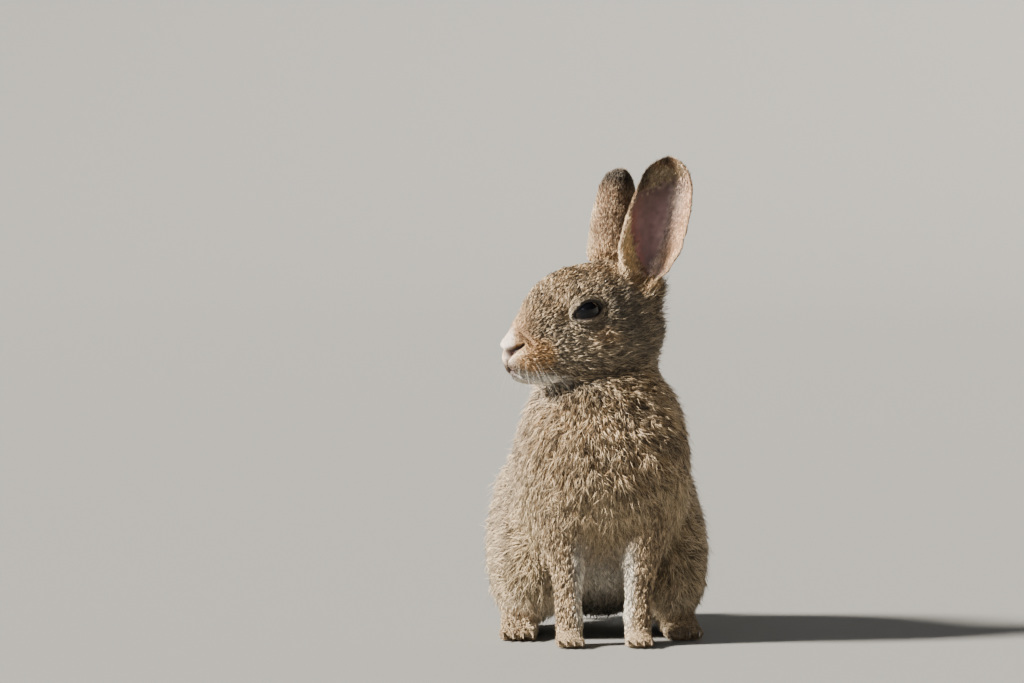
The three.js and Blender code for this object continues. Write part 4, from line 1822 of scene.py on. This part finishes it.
@dataclass
class Coat:
    """All tufts over the skin, in a few joined meshes."""

    pelt: Pelt
    markings: Markings
    lie: LieOfCoat
    share: float = 1.0
    long_from: float = 3.0  # hairs from this length on bend
    bend: float = 0.45  # share of the length at which they bend
    tuck: float = 0.18  # depth of the roots under the skin
    patch: float = 0.003  # size of a tuft on the unwrap
    chest_extra: float = 0.7  # more tufts on the chest, as a share
    guard_share: float = 0.05  # of the long tufts, which are guard hairs
    guard_from: float = 5.0
    floor_gap: float = 0.05
    pieces: tuple[CoatPiece, ...] = (
        *CoatPiece.pair("coat_head", Region.HEAD),
        *CoatPiece.pair("coat_ear", Region.EAR),
        CoatPiece("coat_neck", (Region.NECK,)),
        CoatPiece("coat_chest", (Region.TRUNK,), Side.BOTH, Facing.CHEST),
        *CoatPiece.pair("coat_back", Region.TRUNK, Facing.BACK),
        *CoatPiece.pair("coat_thigh", Region.THIGH),
        CoatPiece("coat_legs", (Region.FORELEG, Region.FOREPAW, Region.HINDFOOT)),
        CoatPiece("coat_tail", (Region.TAIL,)),
    )

    def _face_groups(self) -> Array:
        """Number of the piece that each face of the skin belongs to.

        Returns:
            One number for each face.
        """
        pelt = self.pelt
        faces = pelt.mesh.faces
        middle = pelt.mesh.points[faces].mean(axis=1)
        main = pelt.weights[faces].mean(axis=1).argmax(axis=1)
        facing = unit(pelt.mesh.face_vectors())
        chest = (facing[:, 1] < -0.15) & (middle[:, 1] < node_box("thigh_left")[0][1] + 6)
        on_head = pelt.marks.head.local(middle)[:, 0]
        order = list(Region)
        groups = np.full(len(faces), -1)
        for number, piece in enumerate(self.pieces):
            own = np.isin(main, [order.index(region) for region in piece.regions])
            head = piece.regions[0] in (Region.HEAD, Region.EAR)
            across = on_head if head else middle[:, 0] - pelt.marks.spine
            own &= across * piece.side >= 0
            if piece.facing is not Facing.ALL:
                own &= chest == (piece.facing is Facing.CHEST)
            groups[own & (groups < 0)] = number
        return groups

    def _roots(self, rng: Draws) -> Roots:
        """Scatter roots by each region's density.

        Args:
            rng: Source of the draws.

        Returns:
            The roots.
        """
        pelt = self.pelt
        faces = pelt.mesh.faces
        area = lengths(pelt.mesh.face_vectors()) / 2
        density = pelt.weights @ np.array([region.hair.density for region in Region])
        ideal = np.interp(pelt.length, [0.5, 1.5, 3.0, 6.0], [1.6, 1.25, 1.0, 0.85])
        ear_hollow = smoothstep(0.3, 0.7, pelt.inner_ear) * pelt.share(Region.EAR)
        bare = smoothstep(0.3, 0.7, self.markings.bare)
        density = density * ideal * (1 - bare) * (1 - 0.1 * ear_hollow)
        ahead = smoothstep(0.0, -0.4, pelt.mesh.normals()[:, 1])
        ahead = ahead * smoothstep(30, 50, pelt.mesh.points[:, 2])
        density = density * (1 + self.chest_extra * ahead * pelt.share(Region.TRUNK))
        wanted = area * density[faces].mean(axis=1) * self.share
        number = np.floor(wanted + rng.random(len(faces))).astype(int)
        chosen = np.repeat(np.arange(len(faces)), number)
        corner = rng.random((len(chosen), 2))
        over = corner.sum(axis=1) > 1
        corner[over] = 1 - corner[over]
        weights = np.column_stack([1 - corner.sum(axis=1), corner])
        return Roots(chosen, faces[chosen], weights)

    def _locks(self, places: Array, regions: Array, rng: Draws) -> Array:
        """Number of the leading tuft of each tuft's lock.

        Args:
            places: Places of the tufts.
            regions: Region weights of the tufts.
            rng: Source of the draws.

        Returns:
            Leader's number for each tuft.
        """
        hairs = [region.hair for region in Region]
        share = regions @ np.array([hair.locks / hair.density for hair in hairs])
        leaders = np.flatnonzero(rng.random(len(places)) < share / self.share)
        tree = KDTree(len(leaders))
        for index, place in enumerate(places[leaders].tolist()):
            tree.insert(place, index)
        tree.balance()
        return leaders[np.array([tree.find(place)[1] for place in places.tolist()])]

    def _sizes(self, roots: Roots, rng: Draws) -> tuple[Array, Array, Array]:
        """Length and width of each tuft, and which are guard hairs, longer and thinner.

        Args:
            roots: Where the tufts grow.
            rng: Source of the draws.

        Returns:
            Lengths, widths, and True for each guard hair.
        """
        count = len(roots.face)
        length = roots.at(self.pelt.length) * rng.uniform(0.62, 1.15, count)
        guard = (rng.random(count) < self.guard_share) & (length > self.guard_from)
        length = np.where(guard, length * 1.3, length)
        width = roots.at(self.pelt.weights) @ np.array([region.hair.width for region in Region])
        width = width * rng.uniform(0.75, 1.2, count) * np.interp(length, [0.5, 2.5, 6], [0.65, 0.95, 1])
        return length, np.where(guard, width * 0.5, width), guard

    def _shades(self, combed: Array, leader: Array, rng: Draws) -> tuple[Array, Array]:
        """Shade of each tuft, and its chance of a dark or pale tip, much alike in a lock.

        Args:
            combed: How closely each tuft is combed.
            leader: Number of the leading tuft of each tuft's lock.
            rng: Source of the draws.

        Returns:
            Factors for the colour, and chances from 0 to 1.
        """
        count = len(leader)
        shade = 0.93 + (0.9 - 0.42 * combed) * (rng.random(count)[leader] ** 1.3 - 0.435)
        shade += (0.35 + 0.25 * combed) * (rng.random(count) - 0.5)
        own = 0.2 + 0.35 * combed
        drawn = (1 - own) * rng.random(count)[leader] + own * rng.random(count)
        return shade, drawn.argsort().argsort() / count

    def _comb(self, roots: Roots, rng: Draws) -> Hairs:
        """Lay every tuft along the coat, and gather the tips into locks.

        The tufts of a lock share most of their turn and lift. On the head they are combed closer.

        Args:
            roots: Where the tufts grow.
            rng: Source of the draws.

        Returns:
            The tufts.
        """
        pelt, count = self.pelt, len(roots.face)
        places = roots.at(pelt.mesh.points)
        normals = unit(roots.at(pelt.mesh.normals()))
        flow = unit(roots.at(self.lie.flow))
        across = np.cross(normals, flow)
        combed = roots.at(pelt.share(Region.HEAD))
        leader = self._locks(places, roots.at(pelt.weights), rng)
        length, width, guard = self._sizes(roots, rng)

        wild = np.interp(length, [1.0, 3.0, 7.0], [0.12, 0.23, 0.38]) * (1 - 0.4 * combed)
        turn = rng.normal(0, 1, count) * wild * 0.7 + rng.normal(0, 1, count)[leader] * wild * 0.9
        turn += (ripple(places, 8.0, 11) + 0.8 * ripple(places, 3.2, 14)) * wild * 0.6
        flow = flow * np.cos(turn)[:, None] + across * np.sin(turn)[:, None]

        lift = np.radians(roots.at(pelt.lift))
        lift = lift * (0.95 + (1 - 0.4 * combed) * rng.uniform(-0.35, 0.35, count))
        uneven = rng.normal(0, 1, count)[leader]
        lift = lift * (1 + 0.25 * ripple(places, 9.0, 12) + (0.2 - 0.08 * combed) * uneven)
        lift = np.clip(np.where(guard, lift * 1.25, lift), 0.05, 1.2)
        reach = flow * np.cos(lift)[:, None] + normals * np.sin(lift)[:, None]
        raised = flow * np.cos(1.6 * lift)[:, None] + normals * np.sin(1.6 * lift)[:, None]
        tips = places + reach * length[:, None]

        pull = rng.uniform(0.3, 0.75, count) * np.where(guard, 0.2, 1.0)
        target = tips[leader] - tips
        limit = np.minimum(1.0, 0.35 * length / np.maximum(lengths(target), 0.01))
        shade, chance = self._shades(combed, leader, rng)
        return Hairs(
            roots=places,
            middles=places + raised * (self.bend * length)[:, None],
            tips=tips + target * (pull * limit)[:, None],
            normals=normals,
            across=np.cross(normals, flow),
            width=width,
            length=length,
            colour=np.clip(roots.at(self.markings.colour) * shade[:, None], 0, 1),
            ticking=roots.at(self.markings.ticking),
            chance=np.where(guard, 0.95, chance),
            uv=(pelt.uv[roots.face] * roots.weights[:, :, None]).sum(axis=1),
        )

    def _piece(self, name: str, hairs: Hairs, own: Array, finish: Material) -> None:
        """Make one piece of coat.

        Args:
            name: Name of the piece.
            hairs: All tufts.
            own: True for each tuft of this piece.
            finish: The coat's material.
        """
        is_long = hairs.length >= self.long_from
        parts = []
        for kind in Tuft:
            who = np.flatnonzero(own & (is_long == (kind is Tuft.LONG)))
            parts.append(Strands.of(kind, hairs, who, self.bend, self.tuck))
        mesh = joined([part.mesh for part in parts])
        mesh.points[:, 2] = np.maximum(mesh.points[:, 2], self.floor_gap)
        owner = np.concatenate([part.owner for part in parts])
        along = np.concatenate([part.along for part in parts])
        across = np.concatenate([part.across for part in parts])
        made = mesh.object(name)
        add_field(made, "mark", np.column_stack([hairs.colour[owner], hairs.ticking[owner]]))
        add_field(made, "along", along)
        add_field(made, "chance", hairs.chance[owner])
        place = np.column_stack([across * 0.5, along - 0.5]) * self.patch
        corner_uv = np.clip(hairs.uv[owner] + place, 0.0, 1.0)[mesh.faces.ravel()]
        layer = made.data.uv_layers.new(name="OFBake")
        layer.data.foreach_set("uv", corner_uv.astype(np.float32).ravel())
        dress(made, finish, "coat")

    def build(self) -> None:
        """Grow the whole coat."""
        rng = np.random.default_rng(SEED)
        roots = self._roots(rng)
        hairs = self._comb(roots, rng)
        groups = self._face_groups()[roots.face]
        finish = CoatFinish().build()
        for number, piece in enumerate(self.pieces):
            self._piece(piece.name, hairs, groups == number, finish)


# Eyes, claws and whiskers

@dataclass
class Eyeball:
    """One eye: a globe with a slightly raised cornea, in the place of its node."""

    pelt: Pelt
    side: Side
    rings: int = 48
    steps: int = 64
    cornea_rise: float = 0.35
    sink: float = 0.35  # of the globe behind its node's surface

    def build(self) -> None:
        """Make the eye's object in the place of its node."""
        marks = self.pelt.marks
        eye, radius = marks.eyes[self.side], marks.eye_radius
        polar = np.linspace(0, math.pi, self.rings)
        reaches = radius - self.sink + self.cornea_rise * bump(polar, 0.62)
        mesh = globe(eye, reaches, np.stack(self.pelt.lids.axes(marks.head, self.side)), self.steps)
        spread = np.where(polar < math.pi / 2, np.sin(polar), 1.0)
        ring = np.concatenate([spread[:1], np.repeat(spread[1:-1], self.steps), spread[-1:]])
        made = mesh.object(self.side.of("eyeball"))
        add_field(made, "ring", ring)
        dress(made, EyeFinish().build(), "eye", self.side.of("eye"))


def tapered(line: Array, radii: Array, sides: int, squash: tuple[float, float] = (1, 1)) -> TriangleMesh:
    """Closed tube along a line, thinner or thicker at each point.

    Args:
        line: Points of the middle line.
        radii: Radius at each point.
        sides: Number of sides.
        squash: Width and height of the section for a radius of 1.

    Returns:
        The tube.
    """
    tangents = unit(np.gradient(line, axis=0))
    points = []
    reference = np.array([0.0, 0.0, 1.0]) if abs(tangents[0][2]) < 0.9 else np.array([1.0, 0.0, 0.0])
    for place, tangent, radius in zip(line, tangents, radii):
        aside = unit(np.cross(tangent, reference))
        above = np.cross(aside, tangent)
        for step in range(sides):
            angle = 2 * math.pi * step / sides
            offset = aside * math.cos(angle) * squash[0] + above * math.sin(angle) * squash[1]
            points.append(place + offset * radius)
    hub = len(points)
    lower = [face[::-1] for face in fan_faces(hub + 1, hub - sides, sides)]
    faces = ring_faces(0, len(line), sides) + fan_faces(hub, 0, sides) + lower
    points += [line[0], line[-1]]
    return TriangleMesh(np.array(points), np.array(faces)[:, ::-1])


@dataclass
class Claws:
    """The claws of one foot, hooked forward out of the toes."""

    foot: str
    sides: int = 12
    steps: int = 9
    thickness: float = 0.72  # root's radius, as a share of half the node's height
    squash: tuple[float, float] = (0.62, 1.0)
    line_gap: float = 0.3  # least height of the middle line over the floor
    floor_gap: float = 0.05

    def _claw(self, node: str) -> tuple[TriangleMesh, Array]:
        """One claw in its node's box.

        Args:
            node: Name of the claw's node.

        Returns:
            The claw, and how far along it each point lies.
        """
        low, high = node_box(node)
        share = np.linspace(0, 1, self.steps)
        height = (high[2] - low[2]) / 2
        drop = share**1.8 * height * 1.05
        line = np.column_stack(
            [
                np.full(self.steps, (low[0] + high[0]) / 2),
                high[1] + 0.8 - share * (high[1] - low[1] + 0.7),
                np.full(self.steps, high[2] - height * 0.75) - drop,
            ]
        )
        line[:, 2] = np.maximum(line[:, 2], self.line_gap)
        radii = height * self.thickness * np.sqrt(1 - share * 0.985)
        mesh = tapered(line, radii, self.sides, self.squash)
        mesh.points[:, 2] = np.maximum(mesh.points[:, 2], self.floor_gap)
        return mesh, np.append(np.repeat(share, self.sides), [0.0, 1.0])

    def build(self, finish: Material) -> None:
        """Make all claws of the foot as one object.

        Args:
            finish: The horn's material.
        """
        nodes = sorted(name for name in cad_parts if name.startswith(f"{self.foot}_claw"))
        claws = [self._claw(node) for node in nodes]
        made = joined([mesh for mesh, _ in claws]).object(f"claws_{self.foot}")
        add_field(made, "along", np.concatenate([along for _, along in claws]))
        dress(made, finish, "claw", *nodes)


@dataclass
class Whiskers:
    """Whiskers of both pads, and a few over each eye."""

    pelt: Pelt
    tree: BVHTree = field(init=False)
    rows: int = 4
    in_row: int = 5
    over_eye: int = 3
    radius: float = 0.037
    brow_radius: float = 0.045
    sides: int = 5
    steps: int = 8

    def __post_init__(self) -> None:
        """Prepare to find places on the skin."""
        self.tree = self.pelt.mesh.tree()

    def _hair(self, spot: Array, aim: Array, length: float, sag: float, radius: float) -> TriangleMesh:
        """One whisker that leaves the skin and droops.

        Args:
            spot: Place on the head near its root, as (left, front, up).
            aim: Direction in which it leaves, in the same terms.
            length: Its length.
            sag: How far its tip droops.
            radius: Radius at its root.

        Returns:
            The whisker.
        """
        head = self.pelt.marks.head
        root = np.array(self.tree.find_nearest(Vector(head.world(spot)))[0])
        aim = head.turned(aim)
        share = np.linspace(0, 1, self.steps)[:, None]
        line = root + unit(aim) * share * length + np.array([0, 0, -1.0]) * sag * share**2
        radii = radius * (1 - 0.8 * share[:, 0])
        return tapered(line, radii, self.sides)

    def _pad(self, side: Side, rng: Draws) -> list[TriangleMesh]:
        """Rows of whiskers on one side's pad.

        Args:
            side: Which pad.
            rng: Source of the draws.

        Returns:
            The whiskers.
        """
        hairs = []
        for row in range(self.rows):
            for place in range(self.in_row):
                across, ahead = 5.6 + 0.8 * place, 27.0 - 1.9 * place
                spot = np.array([side * across, ahead, -17.5 - 1.9 * row - 0.3 * place])
                spot = spot + rng.normal(0, 0.25, 3)
                aim = np.array([side * 0.8, 0.42 - 0.2 * place, -0.85 - 0.2 * row])
                aim = aim + rng.normal(0, 0.12, 3)
                length = (9.0 + 3.0 * place) * rng.uniform(0.8, 1.15)
                hairs.append(self._hair(spot, aim, length, 0.12 * length, self.radius))
        return hairs

    def build(self) -> None:
        """Make all whiskers as one object."""
        rng = np.random.default_rng(SEED + 1)
        hairs = []
        for side in Side.pair():
            hairs += self._pad(side, rng)
            for place in range(self.over_eye):
                spot = np.array([side * 13.0, 3.5 - 2.5 * place, 7.5])
                aim = np.array([side * 0.9, 0.1 - 0.3 * place, 0.9])
                hairs.append(self._hair(spot, aim, 8.0 + place, 1.2, self.brow_radius))
        share = np.append(np.repeat(np.linspace(0, 1, self.steps), self.sides), [0.0, 1.0])
        made = joined(hairs).object("whiskers")
        add_field(made, "along", np.tile(share, len(hairs)))
        dress(made, WhiskerFinish().build(), "claw")


# Studio

@dataclass(frozen=True)
class Lamp:
    """Broad distant lamp: where its light comes from, how wide it looks and how strong it is."""

    name: str
    source: Place
    width: float  # degrees
    strength: float
    colour: Colour

    def build(self) -> None:
        """Add the lamp to the scene."""
        light = bpy.data.lights.new(self.name, "SUN")
        light.angle = math.radians(self.width)
        light.energy = self.strength
        light.color = self.colour
        made = bpy.data.objects.new(self.name, light)
        made.rotation_euler = Vector(self.source).to_track_quat("Z", "Y").to_euler()
        bpy.context.scene.collection.objects.link(made)


@dataclass
class Studio:
    """Floor that curves up all round, lamps, sky and camera; sizes in metres."""

    distance: float = 2.6
    elevation: float = 2.5
    field_width: float = 0.43
    aim_left: float = 0.029  # of the head's middle
    aim_down: float = 0.0065
    floor_radius: float = 3.4
    sweep_radius: float = 1.6
    wall_height: float = 0.6
    turns: int = 96  # steps round the floor
    steps: int = 16  # steps up the sweep
    glow_share: float = 0.6
    lamps: tuple[Lamp, ...] = (
        Lamp("key", (-1.0, -0.36, 0.62), 12.0, 23.75, (1.0, 0.935, 0.82)),
        Lamp("window", (-0.3, -0.92, 0.36), 18.0, 0.36, (0.7, 0.83, 1.0)),
        Lamp("rim", (0.5, 0.9, 0.8), 40.0, 0.3, (0.97, 0.98, 1.0)),
    )
    sky: Colour = (0.88, 0.93, 1.0)
    sky_strength: float = 0.1

    def build(self) -> None:
        """Set up everything around the animal."""
        self._floor()
        for lamp in self.lamps:
            lamp.build()
        self._sky()
        low, high = (np.array(corner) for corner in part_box("head"))
        self._camera((low + high) / 2 + np.array([-self.aim_left, 0.0, -self.aim_down]))

    def _floor(self) -> None:
        """Round paper floor whose edge sweeps up into a low wall."""
        profile = [(self.floor_radius, 0.0)]
        for step in range(1, self.steps + 1):
            angle = math.pi / 2 * step / self.steps
            out = self.floor_radius + self.sweep_radius * math.sin(angle)
            profile.append((out, self.sweep_radius * (1 - math.cos(angle))))
        profile.append((profile[-1][0], profile[-1][1] + self.wall_height))
        points = [(0.0, 0.0, 0.0)]
        for out, up in profile:
            for turn in range(self.turns):
                angle = 2 * math.pi * turn / self.turns
                points.append((out * math.cos(angle), out * math.sin(angle), up))
        faces = fan_faces(0, 1, self.turns) + ring_faces(1, len(profile), self.turns)
        mesh = TriangleMesh(np.array(points) / MM, np.array(faces))
        made = mesh.object("studio_floor")
        add_field(made, "glow", self._glow(mesh))
        made.data.materials.append(StudioFinish().build())
        made.visible_shadow = False
        logger.info("%s: stage only", made.name)

    def _glow(self, mesh: TriangleMesh) -> Array:
        """Light of its own that makes the wall as bright as the floor, all round.

        Args:
            mesh: The floor and its wall.

        Returns:
            Colour and a one for each point.
        """
        key = self.lamps[0]
        normals = mesh.normals()
        inward = np.where(mesh.points[:, 2:] > 1.0, -mesh.points * [1, 1, 0], [[0, 0, 1]])
        normals = normals * np.where(row_dot(normals, inward) < 0, -1.0, 1.0)[:, None]
        facing = np.maximum(normals @ unit(np.array(key.source)), 0.0)
        floor = unit(np.array(key.source))[2]
        lit = np.array(StudioFinish().tone) * key.colour * key.strength / math.pi
        missing = np.maximum(floor - facing, 0.0) * self.glow_share
        return np.column_stack([missing[:, None] * lit[None, :], np.ones(len(missing))])

    def _sky(self) -> None:
        """Even pale light from all round."""
        world = bpy.data.worlds.new("studio_sky")
        world.use_nodes = True
        background = world.node_tree.nodes["Background"]
        background.inputs["Color"].default_value = (*self.sky, 1.0)
        background.inputs["Strength"].default_value = self.sky_strength
        bpy.context.scene.world = world

    def _camera(self, target: Array) -> None:
        """Long lens, a little above the animal's eye.

        Args:
            target: Place in metres at the middle of the picture.
        """
        camera = bpy.data.cameras.new("camera")
        camera.lens = camera.sensor_width * self.distance / self.field_width
        camera.clip_end = 50.0
        made = bpy.data.objects.new("camera", camera)
        tilt = math.radians(self.elevation)
        back = Vector((0.0, -math.cos(tilt), math.sin(tilt))) * self.distance
        made.location = Vector(target) + back
        made.rotation_euler = (-back).to_track_quat("-Z", "Y").to_euler()
        bpy.context.scene.collection.objects.link(made)
        bpy.context.scene.camera = made


def main() -> None:
    """Build the animal and the studio."""
    logging.basicConfig(level=logging.INFO, format="%(name)s: %(message)s")
    Studio().build()
    pelt = Pelt(Landmarks())
    pelt.sculpt()
    markings = Markings(pelt)
    markings.paint()
    pelt.build(markings)
    lie = LieOfCoat(pelt)
    lie.comb()
    Coat(pelt, markings, lie, share=1.0).build()
    for side in Side.pair():
        Eyeball(pelt, side).build()
    horn = HornFinish().build()
    for foot in ("forepaw", "hindfoot"):
        for side in Side.pair():
            Claws(side.of(foot)).build(horn)
    Whiskers(pelt).build()
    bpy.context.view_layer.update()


if __name__ == "__main__":
    main()
